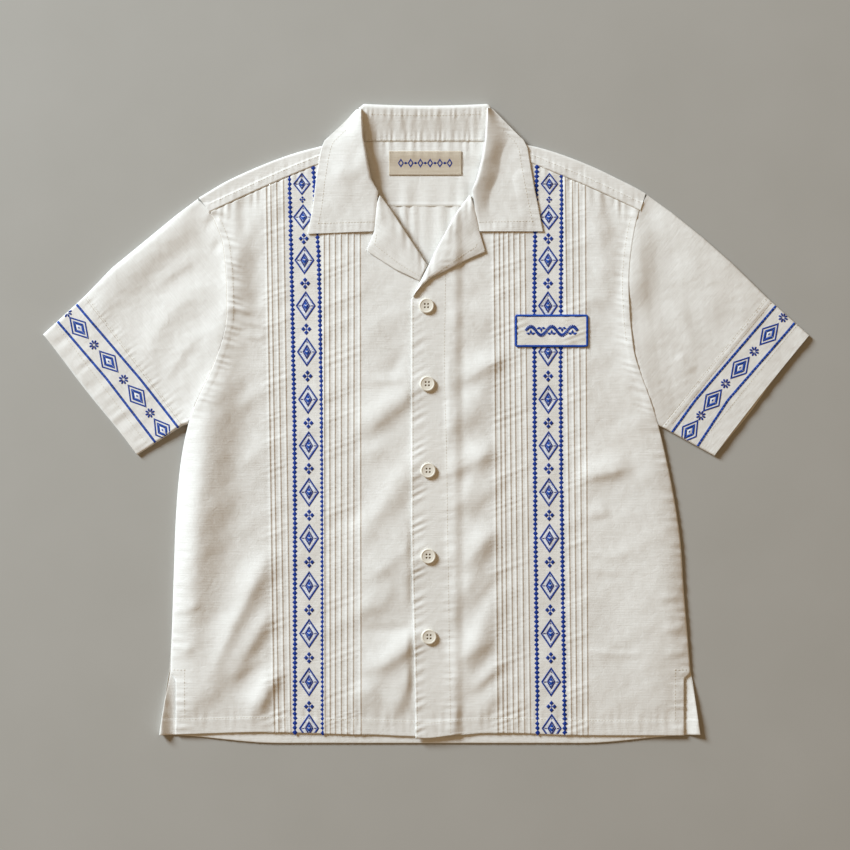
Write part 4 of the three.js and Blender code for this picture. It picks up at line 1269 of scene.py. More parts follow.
x, y = np.meshgrid(across_label(LABEL[0], LABEL[1], 40), across_label(LABEL[3], LABEL[2], 14))
edge = np.minimum(np.minimum(x - LABEL[0], LABEL[1] - x), np.minimum(y - LABEL[2], LABEL[3] - y))
groove = 0.25 * bell(edge - LABEL_STITCH, 0.8)
outer = grid_of(x, y, label_base(x, y) + 1.0 - lift_edge(edge) - groove)
inner = grid_of(x[::3, ::4], y[::3, ::4], label_base(x[::3, ::4], y[::3, ::4]))
label = cloth_object("neck_label_tape", [shell(outer, inner)], label_tape)
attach(label, "root")
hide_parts("neck_label")

# ---- Buttons ----
# Five four-hole buttons turned from ivory polyester with a faint pearly grain: a rounded rim round
# a flat dish, and four sunk holes coloured dark brown, partly for the thread in them and partly as
# painted shade for their depth. The placket is drawn up to them.
HOLE_RADIUS, HOLE_OFFSET = 0.95, 1.9
BUTTON_PROFILE = [
    (8.2, 0), (8.75, 0.5), (8.9, 1.2), (8.85, 1.8), (8.55, 2.35), (8.1, 2.65), (7.6, 2.7),
    (7.1, 2.6), (6.7, 2.4), (6.3, 2.25),
]
button_material, tree = new_material("turned_polyester_pearl")
at = add_node(tree, "ShaderNodeTexCoord").outputs["Object"]
stretched = add_node(
    tree, "ShaderNodeMapping", {"Vector": at, "Rotation": (0, 0, 0.5), "Scale": (90, 320, 90)}
)
grain = add_node(
    tree, "ShaderNodeTexNoise", {"Vector": stretched.outputs[0], "Scale": 1.0, "Detail": 3.0}
)
tone = add_node(
    tree, "ShaderNodeMix",
    {"Factor": grain.outputs["Fac"], 6: linear("#E2DBCC"), 7: linear("#F3EEE3")}, data_type="RGBA",
)
# The holes are mixed to dark brown: the thread in them, darkened with painted shade for their depth.
deep = add_node(tree, "ShaderNodeAttribute", attribute_name="hole").outputs["Fac"]
holes_thread_and_shade = add_node(
    tree, "ShaderNodeMix", {"Factor": deep, 6: tone.outputs[2], 7: linear("#8E7B60")},
    data_type="RGBA",
)
rough = add_node(
    tree, "ShaderNodeMapRange", {"Value": grain.outputs["Fac"], "To Min": 0.34, "To Max": 0.46}
)
finish_material(
    tree,
    add_node(
        tree, "ShaderNodeBsdfPrincipled",
        {"Base Color": holes_thread_and_shade.outputs[2], "Roughness": rough.outputs[0], "Coat Weight": 0.2,
         "Coat Roughness": 0.25},
    ),
)
for number in range(1, 6):
    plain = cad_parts["button_" + str(number)]
    corners = np.array([plain.matrix_world @ Vector(c) for c in plain.bound_box]) / MM
    centre_x, centre_y = corners.mean(axis=0)[:2]
    turn = np.linspace(0, 2 * math.pi, 120, endpoint=False)
    dish = [(r, 2.25 - 0.25 * ease((6.3 - r) / 3)) for r in np.linspace(6.1, 0.05, 58)]
    radius, z = np.array([(0.05, 0), (4, 0), *BUTTON_PROFILE, *dish]).T
    x, y = radius[:, None] * np.cos(turn), radius[:, None] * np.sin(turn)
    from_hole = np.hypot(np.abs(x) - HOLE_OFFSET, np.abs(y) - HOLE_OFFSET)
    # hole marks the sunk holes, which the material colours dark brown: thread, with painted shade
    # for their depth.
    hole = (1 - ease((from_hole - HOLE_RADIUS) / 0.2)) * (z[:, None] > 1.9)
    z = z[:, None] - 1.1 * hole + corners[:, 2].min()
    points = grid_of(x + centre_x, y + centre_y, z)
    rows, around = points.shape[:2]
    ids = np.arange(rows * around).reshape(rows, around)
    faces = [tuple(f) for f in grid_faces(np.concatenate([ids, ids[:, :1]], axis=1), False)]
    faces += [tuple(ids[0]), tuple(ids[-1][::-1])]
    button = cloth_object(
        "button_" + str(number) + "_turned", [(points.reshape(-1, 3), faces)], button_material
    )
    button.data.attributes.new("hole", "FLOAT", "POINT").data.foreach_set("value", hole.ravel())
    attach(button, "root")
    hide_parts("button_" + str(number))

# ---- Chest patch ----
# A small bare panel of cream twill, overlocked all round with thick blue thread, that lies over
# the tucks on the right chest and is sewn down inside its border.
PATCH = (105.6, 188.4, 90.1, 125.4)  # left, right, bottom and top
PATCH_CLOTH = 0.8
patch_twill = woven("cream_cotton_twill", "#F1EFE9", "#EBE8E1", thread=0.6, slub=0.2, crinkle=0.3)


def patch_top(x, y):
    return front_face(1, x, y) + TUCK_HEIGHT + 0.15 + PATCH_CLOTH


xs, ys = np.linspace(PATCH[0], PATCH[1], 60), np.linspace(PATCH[3], PATCH[2], 28)
x, y = np.meshgrid(xs, ys)
under = patch_top(x[::3, ::4], y[::3, ::4]) - PATCH_CLOTH
patch = cloth_object(
    "chest_patch_twill",
    [shell(grid_of(x, y, patch_top(x, y)), grid_of(x[::3, ::4], y[::3, ::4], under))],
    patch_twill,
)
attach(patch, "root")
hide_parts("chest_patch")

# ---- Sewing ----
# Ivory lockstitch along every seam and hem, and the blue overlocked rim of the patch: threads laid
# along lines on the cloth, each stitch a short bead of thread about 2.6 mm long.
STITCH_PITCH = 3.5
STITCH_SIZE = (2.6, 0.6, 0.34)


def thread(name, dark, mid, pale, roughness):
    """Twisted thread laid side by side: fine ridges 0.5 mm apart across the stitch, a soft gloss,
    and a dye that the attribute `dye` takes from dark (0) to pale (1)."""
    material, tree = new_material(name)
    uv = add_node(tree, "ShaderNodeUVMap", uv_map="grain").outputs["UV"]
    dye = add_node(tree, "ShaderNodeAttribute", attribute_name="dye").outputs["Fac"]
    low = add_node(tree, "ShaderNodeMapRange", {"Value": dye, "From Max": 0.5}).outputs[0]
    high = add_node(tree, "ShaderNodeMapRange", {"Value": dye, "From Min": 0.5}).outputs[0]
    deep = add_node(
        tree, "ShaderNodeMix", {"Factor": low, 6: linear(dark), 7: linear(mid)}, data_type="RGBA"
    )
    full = add_node(
        tree, "ShaderNodeMix", {"Factor": high, 6: deep.outputs[2], 7: linear(pale)},
        data_type="RGBA",
    )
    ridges = add_node(
        tree, "ShaderNodeTexWave",
        {"Vector": uv, "Scale": math.pi / 10 / (0.5 * MM), "Distortion": 1.0, "Detail": 1.0},
        bands_direction="Y",
    )
    patchy = add_node(tree, "ShaderNodeTexNoise", {"Vector": uv, "Scale": 420.0, "Detail": 2.0})
    worn = add_node(
        tree, "ShaderNodeMapRange", {"Value": patchy.outputs["Fac"], "To Min": 0.82, "To Max": 1.22}
    )
    shade = add_node(
        tree, "ShaderNodeHueSaturation", {"Color": full.outputs[2], "Value": worn.outputs[0]}
    )
    bump = add_node(
        tree, "ShaderNodeBump",
        {"Height": ridges.outputs["Fac"], "Strength": 0.6, "Distance": 0.0002},
    )
    finish_material(
        tree,
        add_node(
            tree, "ShaderNodeBsdfPrincipled",
            {"Base Color": shade.outputs[0], "Normal": bump.outputs[0], "Roughness": roughness,
             "Specular IOR Level": 0.3},
        ),
    )
    return material


# Its dark brown end serves mostly as painted shade for the seam cords laid below.
ivory_thread = thread("ivory_sewing_thread", "#A39178", "#DAD2C3", "#F4F1EA", 0.7)
blue_thread = thread("blue_rayon_embroidery_thread", "#052880", "#1450B4", "#F1F4FA", 0.55)


def beads_group(shape):
    """A node group that lays beads of thread along the edges of a mesh."""
    group = bpy.data.node_groups.new("beads_" + shape, "GeometryNodeTree")
    group.interface.new_socket("Geometry", in_out="OUTPUT", socket_type="NodeSocketGeometry")
    group.interface.new_socket("Geometry", in_out="INPUT", socket_type="NodeSocketGeometry")
    for name in ("Pitch", "Length", "Width", "Height", "Slant"):
        group.interface.new_socket(name, in_out="INPUT", socket_type="NodeSocketFloat")
    group.interface.new_socket("Thread", in_out="INPUT", socket_type="NodeSocketMaterial")
    given = add_node(group, "NodeGroupInput").outputs
    curve = add_node(group, "GeometryNodeMeshToCurve", {0: given["Geometry"]})
    spaced = add_node(
        group, "GeometryNodeResampleCurve", {"Curve": curve.outputs[0], "Length": given["Pitch"]},
        mode="LENGTH",
    )
    if shape == "lozenge":
        bead = add_node(
            group, "GeometryNodeMeshCone",
            {"Vertices": 4, "Radius Top": 0.12, "Radius Bottom": 0.5, "Depth": 1.0},
        )
    else:
        bead = add_node(
            group, "GeometryNodeMeshUVSphere", {"Segments": 6, "Rings": 4, "Radius": 0.5}
        )
    tangent = add_node(group, "GeometryNodeInputTangent")
    turn = add_node(
        group, "FunctionNodeAlignRotationToVector", {"Vector": tangent.outputs[0]}, axis="X"
    )
    slant = add_node(group, "ShaderNodeCombineXYZ", {"Z": given["Slant"]})
    slanted = add_node(group, "FunctionNodeEulerToRotation", {0: slant.outputs[0]})
    rotation = add_node(
        group, "FunctionNodeRotateRotation", {0: turn.outputs[0], 1: slanted.outputs[0]},
        rotation_space="LOCAL",
    )
    size = add_node(
        group, "ShaderNodeCombineXYZ",
        {"X": given["Length"], "Y": given["Width"], "Z": given["Height"]},
    )
    laid = add_node(
        group, "GeometryNodeInstanceOnPoints",
        {"Points": spaced.outputs[0], "Instance": bead.outputs[0], "Rotation": rotation.outputs[0],
         "Scale": size.outputs[0]},
    )
    real = add_node(group, "GeometryNodeRealizeInstances", {0: laid.outputs[0]})
    dyed = add_node(
        group, "GeometryNodeSetMaterial", {"Geometry": real.outputs[0], "Material": given["Thread"]}
    )
    add_node(group, "NodeGroupOutput", {0: dyed.outputs[0]})
    return group


BEADS = {shape: beads_group(shape) for shape in ("stitch", "lozenge")}


def lay_beads(name, shape, lines, pitch, size, material, slant=0.0, dye=0.5):
    """Beads along lines of points in millimetres, as one finished mesh object."""
    mesh = bpy.data.meshes.new(name)
    edges, start = [], 0
    for line in lines:
        edges += [(start + i, start + i + 1) for i in range(len(line) - 1)]
        start += len(line)
    mesh.from_pydata((np.concatenate(lines) * MM).tolist(), edges, [])
    made = bpy.data.objects.new(name, mesh)
    bpy.context.collection.objects.link(made)
    nodes = made.modifiers.new("beads", "NODES")
    nodes.node_group = BEADS[shape]
    values = {"Pitch": pitch * MM, "Length": size[0] * MM, "Width": size[1] * MM,
              "Height": size[2] * MM, "Slant": slant, "Thread": material}
    for socket in BEADS[shape].interface.items_tree:
        if socket.in_out == "INPUT" and socket.name in values:
            nodes[socket.identifier] = values[socket.name]
    ready = made.evaluated_get(bpy.context.evaluated_depsgraph_get())
    finished = bpy.data.meshes.new_from_object(ready)
    made.modifiers.remove(nodes)
    made.data = finished
    bpy.data.meshes.remove(mesh)
    finished.name = name
    attribute = finished.attributes.new("dye", "FLOAT", "POINT")
    attribute.data.foreach_set("value", [dye] * len(finished.vertices))
    finished.polygons.foreach_set("use_smooth", [shape == "stitch"] * len(finished.polygons))
    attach(made, "root")


def on_front(side, x, y, lift=0.1):
    """Points on a front's face, over its tucks."""
    x, y = np.broadcast_arrays(np.asarray(x, float), np.asarray(y, float))
    over = 0 * x
    for chest, foot in TUCKS_LEFT if side < 0 else TUCKS_RIGHT:
        middle = mix(foot, chest, (y - TUCK_HEM) / (TUCK_CHEST - TUCK_HEM))
        offsets, heights = np.array(TUCK_PROFILE).T
        over = over + np.interp(x - middle, offsets, heights) * TUCK_HEIGHT
    return grid_of(x, y, front_face(side, x, y) + over + lift)


def lerp_line(points, count):
    """x and y of evenly spaced points along a polyline."""
    return along(points, np.linspace(0, 1, count)).T


lines = []
x = np.linspace(-290, 22, 260)
lines.append(on_front(-1, x, hem_left(x) + HEM_DEPTH - 1.5))
x = np.linspace(-11, 301, 260)
lines.append(on_front(1, x, hem_right(x) + HEM_DEPTH - 1.5))
y = np.linspace(172, -364, 400)
lines.append(on_front(1, placket_stitch_x(y), y))
y = np.linspace(140, -366, 380)
lines.append(on_front(1, placket_edge_x(y) + 2.2, y))
for side, edge_line, vent, low in ((-1, SIDE_LEFT, VENT_LEFT, 122), (1, SIDE_RIGHT, VENT_RIGHT, 96)):
    y = np.linspace(240, low, 120)
    lines.append(on_front(side, read(edge_line, y) - side * 7.5, y))
    y = np.linspace(VENT_TOP + 3, -345, 60)
    lines.append(on_front(side, vent - side * 10.5, y))
    x = vent - side * np.linspace(-2, 10.5, 14)
    lines.append(on_front(side, x, VENT_TOP + 3 + 0 * x, 0.25))
    seam = SHOULDER_SEAM_LEFT if side < 0 else SHOULDER_SEAM_RIGHT
    x = np.linspace(seam[0][0], seam[-1][0], 140)[3:-3]
    y = read(seam, x, by=0) + 9.5
    z = front_under(x, y) + CLOTH + SHOULDER_RAISE + shoulder_waver(side, x) + 0.05
    lines.append(grid_of(x, y, z))
    leaf = LEAF_LEFT if side < 0 else LEAF_RIGHT
    u = np.linspace(0.2, 0.925, 160)
    lines.append(leaf_point(side, leaf, u, 0 * u, edge=10.5) + np.array([0, 0, 0.1]))
    share = np.linspace(0.14, 0.97, 80)
    lines.append(leaf_point(side, leaf, 0.925 + 0 * share, share) + np.array([0, 0, 0.1]))
    lapel = LAPEL_LEFT if side < 0 else LAPEL_RIGHT
    u = np.linspace(0.34, 0.99, 90)
    x, y = mix(along(lapel[1], u), along(lapel[0], u), 0.24).T
    lines.append(grid_of(x, y, lapel_height(side, x, y, 0.76 + 0 * x) + 0.1))
for sleeve in SLEEVES.values():
    top, bottom = np.array(sleeve["top"], float), np.array(sleeve["bottom"], float)
    run = (top - bottom) / np.linalg.norm(top - bottom)
    out = np.array([run[1], -run[0]]) * sleeve["side"]
    w = np.linspace(0.06, 0.985, 130)
    for away in (-2.2, 46) if sleeve["side"] < 0 else (-2.2, 5.5, 46):
        x, y = (mix(bottom, top, w[:, None]) + out * away).T
        lines.append(grid_of(x, y, sleeve_face(sleeve, x, y) + CLOTH + 0.1))
x = np.linspace(-63, 62, 120)
y = 359 + 1.5 * (np.abs(x) / 62) ** 2
lines.append(grid_of(x, y, stand_under(x, y) + CLOTH + 0.1))
x = np.linspace(-66, 64, 120)
lines.append(grid_of(x, 331.2 + 0 * x, stand_under(x, 331.2 + 0 * x) + CLOTH + 0.1))
left, right = LABEL[0] + LABEL_STITCH, LABEL[1] - LABEL_STITCH
bottom, top = LABEL[2] + LABEL_STITCH, LABEL[3] - LABEL_STITCH
x, y = lerp_line([(left, bottom), (right, bottom), (right, top), (left, top), (left, bottom)], 240)
lines.append(grid_of(x, y, label_base(x, y) + 0.85))
lay_beads("sewing_stitches", "stitch", lines, STITCH_PITCH, STITCH_SIZE, ivory_thread, dye=0.46)

# Painted shade along the seams: a cord of beads of the ivory thread, dyed darker than the stitching,
# closes each join and stands for the shaded line of the seam.
seam_shade_cords = []
for side, edge_line, low in ((-1, SIDE_LEFT, 20), (1, SIDE_RIGHT, 10)):
    seam = SHOULDER_SEAM_LEFT if side < 0 else SHOULDER_SEAM_RIGHT
    x = np.linspace(seam[0][0], seam[-1][0], 140)
    y = read(seam, x, by=0)
    seam_shade_cords.append(grid_of(x, y, front_face(side, x, y - 1) - 0.15))
    y = np.linspace(244, low, 160)
    x = read(edge_line, y)
    seam_shade_cords.append(grid_of(x + side * 0.1, y, front_face(side, x - side * 0.8, y) - 0.6))
for sleeve in SLEEVES.values():
    w = np.linspace(0.02, 0.98, 160)[:, None]
    x, y = mix(np.array(sleeve["bottom"], float), np.array(sleeve["top"], float), w).T
    seam_shade_cords.append(grid_of(x, y, sleeve_face(sleeve, x, y) + CLOTH - 0.1))
x = np.linspace(-52, 50, 120)
z = neck_floor(x, BACK_YOKE_SEAM + 1 + 0 * x) - 0.3
seam_shade_cords.append(grid_of(x, BACK_YOKE_SEAM - 0.2 + 0 * x, z))
x = np.linspace(-68, 66, 120)
seam_shade_cords.append(grid_of(x, NECK_SEAM + 0.1 + 0 * x, neck_floor(x, NECK_SEAM + 0 * x) + 0.1))
# dye 0.3, darker than the stitches, is the painted shade of the seam line.
lay_beads("seam_cords_painted_shade", "stitch", seam_shade_cords, 1.7, (2.0, 0.75, 0.5), ivory_thread, dye=0.3)

corner = 0.9
rim = [(PATCH[0] + corner, PATCH[3]), (PATCH[1] - corner, PATCH[3]), (PATCH[1], PATCH[3] - corner),
       (PATCH[1], PATCH[2] + corner), (PATCH[1] - corner, PATCH[2]), (PATCH[0] + corner, PATCH[2]),
       (PATCH[0], PATCH[2] + corner), (PATCH[0], PATCH[3] - corner), (PATCH[0] + corner, PATCH[3])]
x, y = lerp_line(rim, 300)
lay_beads("patch_overlock", "stitch", [grid_of(x, y, patch_top(x, y) - 0.3)], 0.62, (1.3, 3.6, 1.6),
          blue_thread, slant=0.35, dye=0.34)

# ---- Embroidery ----
# Blue rayon satin stitch: on each front a chain of stepped diamonds and small four-part florets
# between two columns of lozenges, and on each cuff diamonds and eight-petalled florets between two
# lines. Every bar of satin is a low dome of thread over the cloth.
DARK, MID, PALE, WHITE = 0.0, 0.5, 0.93, 1.0


def clipped(outline, limits):
    """A convex outline cut by half planes: each limit keeps a*x + b*y <= c."""
    for a, b, c in limits:
        kept = []
        for p, q in zip(outline, np.roll(outline, -1, axis=0)):
            dp, dq = a * p[0] + b * p[1] - c, a * q[0] + b * q[1] - c
            if dp <= 0:
                kept.append(p)
            if dp * dq < 0:
                kept.append(p + (q - p) * dp / (dp - dq))
        outline = np.array(kept).reshape(-1, 2)
        if len(outline) < 3:
            return outline
    return outline


def outline_area(outline):
    x, y = outline.T
    return 0.5 * float(np.sum(x * np.roll(y, -1) - np.roll(x, -1) * y))


def inset(outline, distance):
    """A convex outline moved inwards by a distance."""
    before, after = np.roll(outline, 1, axis=0), np.roll(outline, -1, axis=0)
    e0, e1 = outline - before, after - outline
    e0, e1 = e0 / np.linalg.norm(e0, axis=1)[:, None], e1 / np.linalg.norm(e1, axis=1)[:, None]
    n0, n1 = np.stack([-e0[:, 1], e0[:, 0]], 1), np.stack([-e1[:, 1], e1[:, 0]], 1)
    return outline + distance * (n0 + n1) / np.maximum(0.25, 1 + np.sum(n0 * n1, axis=1))[:, None]


class Satin:
    """Collects bars of satin stitch and makes one object of them."""

    def __init__(self, height, limits=()):
        self.height, self.limits = height, limits
        self.points, self.faces, self.grain, self.dyes, self.count = [], [], [], [], 0

    def bar(self, outline, dye, run=(0, 1), lift=0.5, base=0.0):
        outline = clipped(np.array(outline, float), self.limits)
        if len(outline) < 3 or abs(outline_area(outline)) < 0.25:
            return
        if outline_area(outline) < 0:
            outline = outline[::-1]
        edges = np.linalg.norm(np.roll(outline, -1, axis=0) - outline, axis=1)
        outline = outline[edges > 0.15]
        if len(outline) < 3:
            return
        edges = np.linalg.norm(np.roll(outline, -1, axis=0) - outline, axis=1)
        narrow = 2 * outline_area(outline) / edges.sum()
        steps = np.maximum(1, np.ceil(edges / 3.2)).astype(int)
        rings = []
        for depth, z in ((0, base - 0.15), (0.12, base + 0.62 * lift), (0.55, base + lift)):
            ring = inset(outline, depth * narrow)
            after = np.roll(ring, -1, axis=0)
            ring = np.concatenate(
                [p + (q - p) * (np.arange(n) / n)[:, None] for p, q, n in zip(ring, after, steps)]
            )
            rings.append(np.column_stack([ring, np.full(len(ring), z)]))
        n, start = len(rings[0]), self.count
        self.points += rings
        flat = np.concatenate(rings)[:, :2]
        self.grain.append(np.stack([flat @ [-run[1], run[0]], flat @ run], axis=1))
        self.dyes += [dye] * (3 * n)
        for ring in (0, n):
            for i in range(n):
                k = (i + 1) % n
                low, high = start + ring, start + ring + n
                self.faces.append((low + i, low + k, high + k, high + i))
        self.faces.append(tuple(start + 2 * n + i for i in range(n)))
        self.faces.append(tuple(start + i for i in range(n - 1, -1, -1)))
        self.count += 3 * n

    def ring(self, corners, centre, scales, dye, lift=0.5, base=0.0):
        """Four mitred bars round a centre, between two scales of the same corners."""
        corners, centre = np.array(corners, float), np.array(centre, float)
        for p, q in zip(corners, np.roll(corners, -1, axis=0)):
            a, b = scales
            run = (q - p) / np.linalg.norm(q - p)
            outline = [centre + p * a, centre + q * a, centre + q * b, centre + p * b]
            self.bar(outline, dye, run, lift, base)

    def finish(self, name):
        points = np.concatenate(self.points)
        points[:, 2] += self.height(points[:, 0], points[:, 1])
        mesh = bpy.data.meshes.new(name)
        mesh.from_pydata((points * MM).tolist(), [], self.faces)
        corner = np.empty(len(mesh.loops), int)
        mesh.loops.foreach_get("vertex_index", corner)
        uv = mesh.uv_layers.new(name="grain")
        uv.data.foreach_set("uv", (np.concatenate(self.grain)[corner] * MM).ravel())
        mesh.attributes.new("dye", "FLOAT", "POINT").data.foreach_set("value", self.dyes)
        mesh.polygons.foreach_set("use_smooth", [True] * len(mesh.polygons))
        mesh.set_sharp_from_angle(angle=math.radians(50))
        mesh.materials.append(blue_thread)
        made = bpy.data.objects.new(name, mesh)
        bpy.context.collection.objects.link(made)
        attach(made, "root")


def turned(points, centre, angle=0.0):
    c, s = math.cos(angle), math.sin(angle)
    return np.array(points, float) @ np.array([[c, s], [-s, c]]) + np.array(centre, float)


def body_diamond(work, x, y, wide, high):
    corners = [(wide, 0), (0, high), (-wide, 0), (0, -high)]
    work.ring(corners, (x, y), (1.03, 0.82), DARK + 0.18, 0.45)
    work.ring(corners, (x, y), (0.81, 0.74), 0.82, 0.12)
    work.ring(corners, (x, y), (0.735, 0.59), WHITE, 0.1)
    work.ring(corners, (x, y), (0.585, 0.49), 0.93, 0.12)
    inner = [(0.44 * wide, 0), (0, 0.51 * high), (-0.44 * wide, 0), (0, -0.51 * high)]
    work.ring(inner, (x, y), (1, 0.66), DARK + 0.1, 0.55)
    work.bar(turned(np.array(inner) * 0.64, (x, y)), MID, (0, 1), 0.5)
    k = high / 17
    keel = [(-2.4, 1.6 * k), (-0.9, -0.7 * k), (0.9, -0.7 * k), (2.4, 1.6 * k)]
    work.bar(turned(keel, (x, y)), PALE, (0, 1), 0.6)
    work.bar(turned([(-0.8, -3.4 * k), (0, -5.6 * k), (0.8, -3.4 * k)], (x, y)), 0.75, (0, 1), 0.75)
    for side in (-1, 1):
        tip = x + side * (0.62 * wide)
        left, right = tip - 1.4, tip + 1.4
        work.bar(
            [(left, y - 0.5), (right, y - 0.5), (right, y + 0.5), (left, y + 0.5)],
            DARK, (1, 0), 0.6,
        )
    crown = [(-0.8, 11.9 * k), (0, 10.4 * k), (0.8, 11.9 * k), (0, 12.6 * k)]
    work.bar(turned(crown, (x, y)), DARK, (1, 0), 0.6)
    foot = [(-0.6, -11.4 * k), (0, -12.4 * k), (0.6, -11.4 * k)]
    work.bar(turned(foot, (x, y)), 0.7, (1, 0), 0.5)


def body_floret(work, x, y, size):
    for dx, dy in ((0, 4.1), (0, -4.1), (3.5, 0), (-3.5, 0)):
        petal = np.array([(2.8, 0), (0, 3.0), (-2.8, 0), (0, -3.0)]) * size
        centre = (x + dx * size, y + dy * size)
        work.bar(turned(petal, centre), DARK + 0.12, (0, 1), 0.55)
    for angle in (0, math.pi / 2):
        arm = turned([(-1.6, -0.35), (1.6, -0.35), (1.6, 0.35), (-1.6, 0.35)], (x, y), angle)
        work.bar(arm, MID, (1, 0), 0.4)


BANDS = {
    -1: dict(
        centre=[(-144.6, 280), (-142.1, 206), (-139.4, 110), (-136.8, -10), (-136.2, -364)],
        columns=(
            [(-159.4, 290), (-157.1, 206), (-155.2, 110), (-153.3, -10), (-152.6, -361)],
            [(-131.2, 298), (-125.5, 206), (-123, 110), (-121, -10), (-120, -361.5)],
        ),
    ),
    1: dict(
        centre=[(144.5, 280), (143.1, 206), (143.3, 0), (144.8, -162), (147.3, -364)],
        columns=(
            [(129.9, 299), (127.3, 190), (127.3, 0), (128.4, -140), (130.9, -361.5)],
            [(159, 288), (157.9, 110), (157.9, 0), (159.7, -150), (162.6, -361.5)],
        ),
    ),
}
DIAMONDS = [  # y and half height
    (279.4, 13), (240.7, 15), (190.4, 16.6), (137.1, 17), (83.3, 17), (27.8, 17), (-26.3, 17),
    (-80.5, 17), (-134.3, 17), (-189.9, 17), (-245.5, 17), (-302.1, 17), (-356.4, 17),
]
FLORETS = [261.1, 215.5, 163.3, 109.9, 55, 0.2, -53.1, -107.4, -162.2, -218.1, -273.9, -330.9]
columns = []
for side, band in BANDS.items():
    hem = (hem_left if side < 0 else hem_right)(np.array(side * 140.0))
    work = Satin(lambda x, y, side=side: front_face(side, x, y), [(0, -1, -float(hem) - 0.6)])
    for y, high in DIAMONDS:
        body_diamond(work, float(read(band["centre"], y)), y, 11.6 if high > 14 else 10.2, high)
    for y in FLORETS:
        body_floret(work, float(read(band["centre"], y)), y, 0.6 if y > 250 else 1)
    work.finish("embroidery_" + ("left" if side < 0 else "right"))
    for column in band["columns"]:
        x, y = lerp_line(column, 300)
        x = read(column, y)
        columns.append(grid_of(x, y, front_face(side, x, y) + 0.02))
lay_beads("embroidery_lozenges", "lozenge", columns, 5.4, (7.0, 6.4, 0.5), blue_thread, dye=0.1)
lay_beads("embroidery_links", "stitch", columns, 1.35, (1.8, 1.5, 0.5), blue_thread, dye=0.2)


def cuff_top(sleeve, x, y):
    """Top of a cuff, rounded over at its two folds."""
    height = sleeve_face(sleeve, x, y) + CLOTH
    half = height / 2
    nearest = 1e9
    for p, q in ((sleeve["top"], sleeve["tip"]), (sleeve["bottom"], sleeve["heel"])):
        dx, dy = q[0] - p[0], q[1] - p[1]
        away = np.abs(dx * (y - p[1]) - dy * (x - p[0])) / math.hypot(dx, dy)
        nearest = np.minimum(nearest, away)
    sink = clamp((half - nearest) / half)
    return half + half * np.sqrt(1 - sink**2)


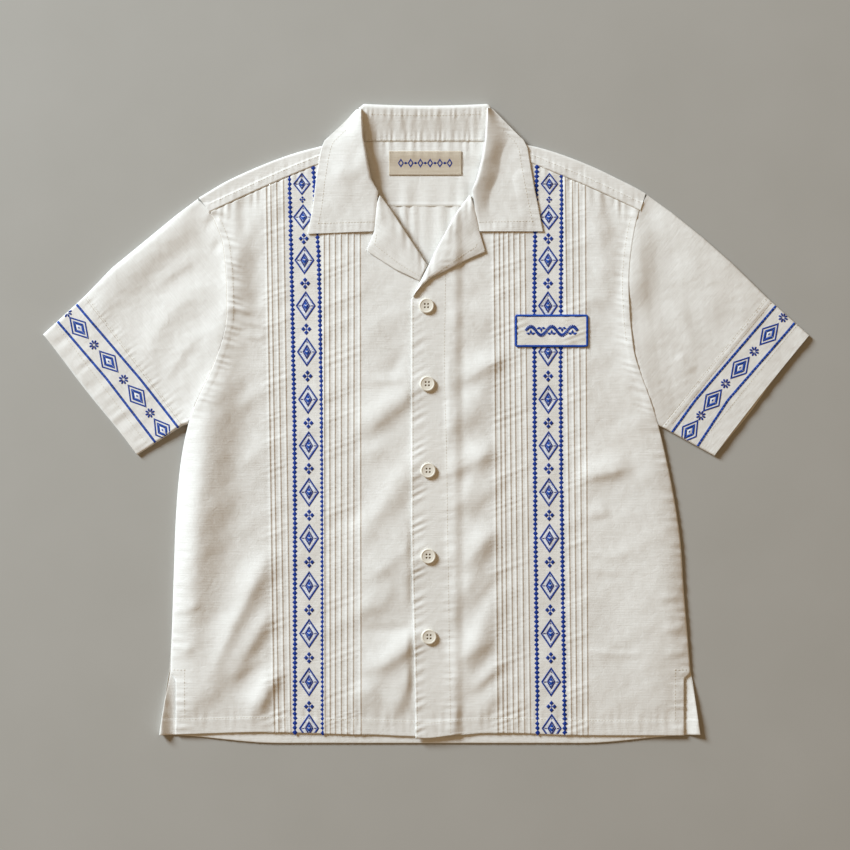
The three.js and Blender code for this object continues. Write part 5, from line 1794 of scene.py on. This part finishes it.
CUFFS = {
    "left": dict(
        diamonds=[(-405, 111.4), (-370.3, 72.1), (-337.2, 31.8), (-307.4, -8)],
        florets=[(-418.8, 129.3), (-387.5, 91.5), (-353, 51.2), (-322, 11.9)],
        lines=([(-408.5, 139.5), (-333, 51), (-284.5, -10.5)],
               [(-430.5, 119.5), (-372, 51), (-313, -26)]),
    ),
    "right": dict(
        diamonds=[(401, 103.9), (367.1, 64.7), (335, 26.7), (308.1, -9.8)],
        florets=[(417.5, 123.3), (383.6, 83.9), (350.2, 46.2), (321.4, 8.9)],
        lines=([(409.5, 137.5), (315, 27), (286.5, -12.5)],
               [(431.5, 117.5), (353, 27), (316.5, -28.5)]),
    ),
}
for key, cuff in CUFFS.items():
    sleeve = SLEEVES[key]
    limits = []
    middle = np.array(cuff["diamonds"][1], float)
    for p, q in ((sleeve["top"], sleeve["tip"]), (sleeve["bottom"], sleeve["heel"])):
        a, b = q[1] - p[1], p[0] - q[0]
        length = math.hypot(a, b)
        a, b = a / length, b / length
        c = a * p[0] + b * p[1]
        sign = 1 if a * middle[0] + b * middle[1] < c else -1
        limits.append((a * sign, b * sign, c * sign - 0.5))
    work = Satin(lambda x, y, sleeve=sleeve: cuff_top(sleeve, x, y), limits)
    for number, centre in enumerate(cuff["diamonds"]):
        run = np.subtract(cuff["diamonds"][max(number - 1, 0)], cuff["diamonds"][max(number, 1)])
        angle = math.atan2(run[1], run[0])
        corners = turned([(17.3, 0), (0, 10.5), (-17.3, 0), (0, -10.5)], (0, 0), angle)
        work.ring(corners, centre, (1.02, 0.81), 0.22, 0.45)
        inner = turned([(11.6, 0), (0, 6.8), (-11.6, 0), (0, -6.8)], (0, 0), angle)
        work.ring(inner, centre, (1, 0.47), 0.32, 0.35)
        work.bar(inner * 0.44 + centre, WHITE, (0, 1), 0.15)
        work.bar(inner * 0.17 + centre, 0.3, (0, 1), 0.4)
    petal = [(1.2, -0.3), (3.3, -1.15), (5.2, -1.1), (6, 0), (5.2, 1.1), (3.3, 1.15), (1.2, 0.3)]
    for centre in cuff["florets"]:
        for k in range(8):
            angle = (k + 0.5) * math.pi / 4
            work.bar(turned(petal, centre, angle), 0.15, (math.cos(angle), math.sin(angle)), 0.5)
    for line in cuff["lines"]:
        t = np.linspace(0, 1, 44)
        path = along(line, t)
        across = np.gradient(path, axis=0)
        across = across / np.linalg.norm(across, axis=1)[:, None]
        normal = np.stack([-across[:, 1], across[:, 0]], axis=1) * 1.5
        for i in range(len(t) - 1):
            low, high = path - normal, path + normal
            bar = [low[i], low[i + 1], high[i + 1], high[i]]
            work.bar(bar, 0.25 + 0.2 * (i % 3 == 0), tuple(across[i]), 0.5)
    work.finish("embroidery_cuff_" + key)

work = Satin(patch_top)
vine_x = np.linspace(PATCH[0] + 11, PATCH[1] - 11, 45)
vine_turn = (vine_x - vine_x[0]) / (vine_x[-1] - vine_x[0]) * 5 * math.pi
vine_y = (PATCH[2] + PATCH[3]) / 2 + 5.2 * np.sin(vine_turn)
for i in range(44):
    x0, x1, y0, y1 = vine_x[i], vine_x[i + 1], vine_y[i], vine_y[i + 1]
    half = 1.6 + 0.6 * abs(math.sin(i / 8.8 * math.pi))
    nx, ny = np.array([y0 - y1, x1 - x0]) / math.hypot(x1 - x0, y1 - y0) * half
    bar = [(x0 - nx, y0 - ny), (x1 - nx, y1 - ny), (x1 + nx, y1 + ny), (x0 + nx, y0 + ny)]
    work.bar(bar, 0.2, (nx, ny), 0.5)
for k in range(5):
    x = mix(vine_x[0], vine_x[-1], (k + 0.5) / 5)
    y = (PATCH[2] + PATCH[3]) / 2 + (4.2 if k % 2 else -4.2)
    for angle in (0.35, math.pi / 2, math.pi - 0.35):
        leaf = turned([(0.4, 0), (2.6, -1.7), (6.2, 0), (2.6, 1.7)], (0, 0), angle)
        work.bar(leaf * (1, 1 if k % 2 == 0 else -1) + (x, y), 0.22, (1, 0), 0.5)
work.finish("patch_vine")
work = Satin(lambda x, y: label_base(x, y) + 0.95)
for k in range(11):
    centre = (mix(LABEL[0] + 14, LABEL[1] - 14, k / 10), (LABEL[2] + LABEL[3]) / 2)
    if k % 2:
        work.bar(turned([(0, 1.7), (-2.5, 0), (0, -1.7), (2.5, 0)], centre), 0.1, (0, 1), 0.25)
    else:
        work.ring([(3.6, 0), (0, 5.4), (-3.6, 0), (0, -5.4)], centre, (1, 0.5), 0.1, 0.25)
work.finish("label_chain")
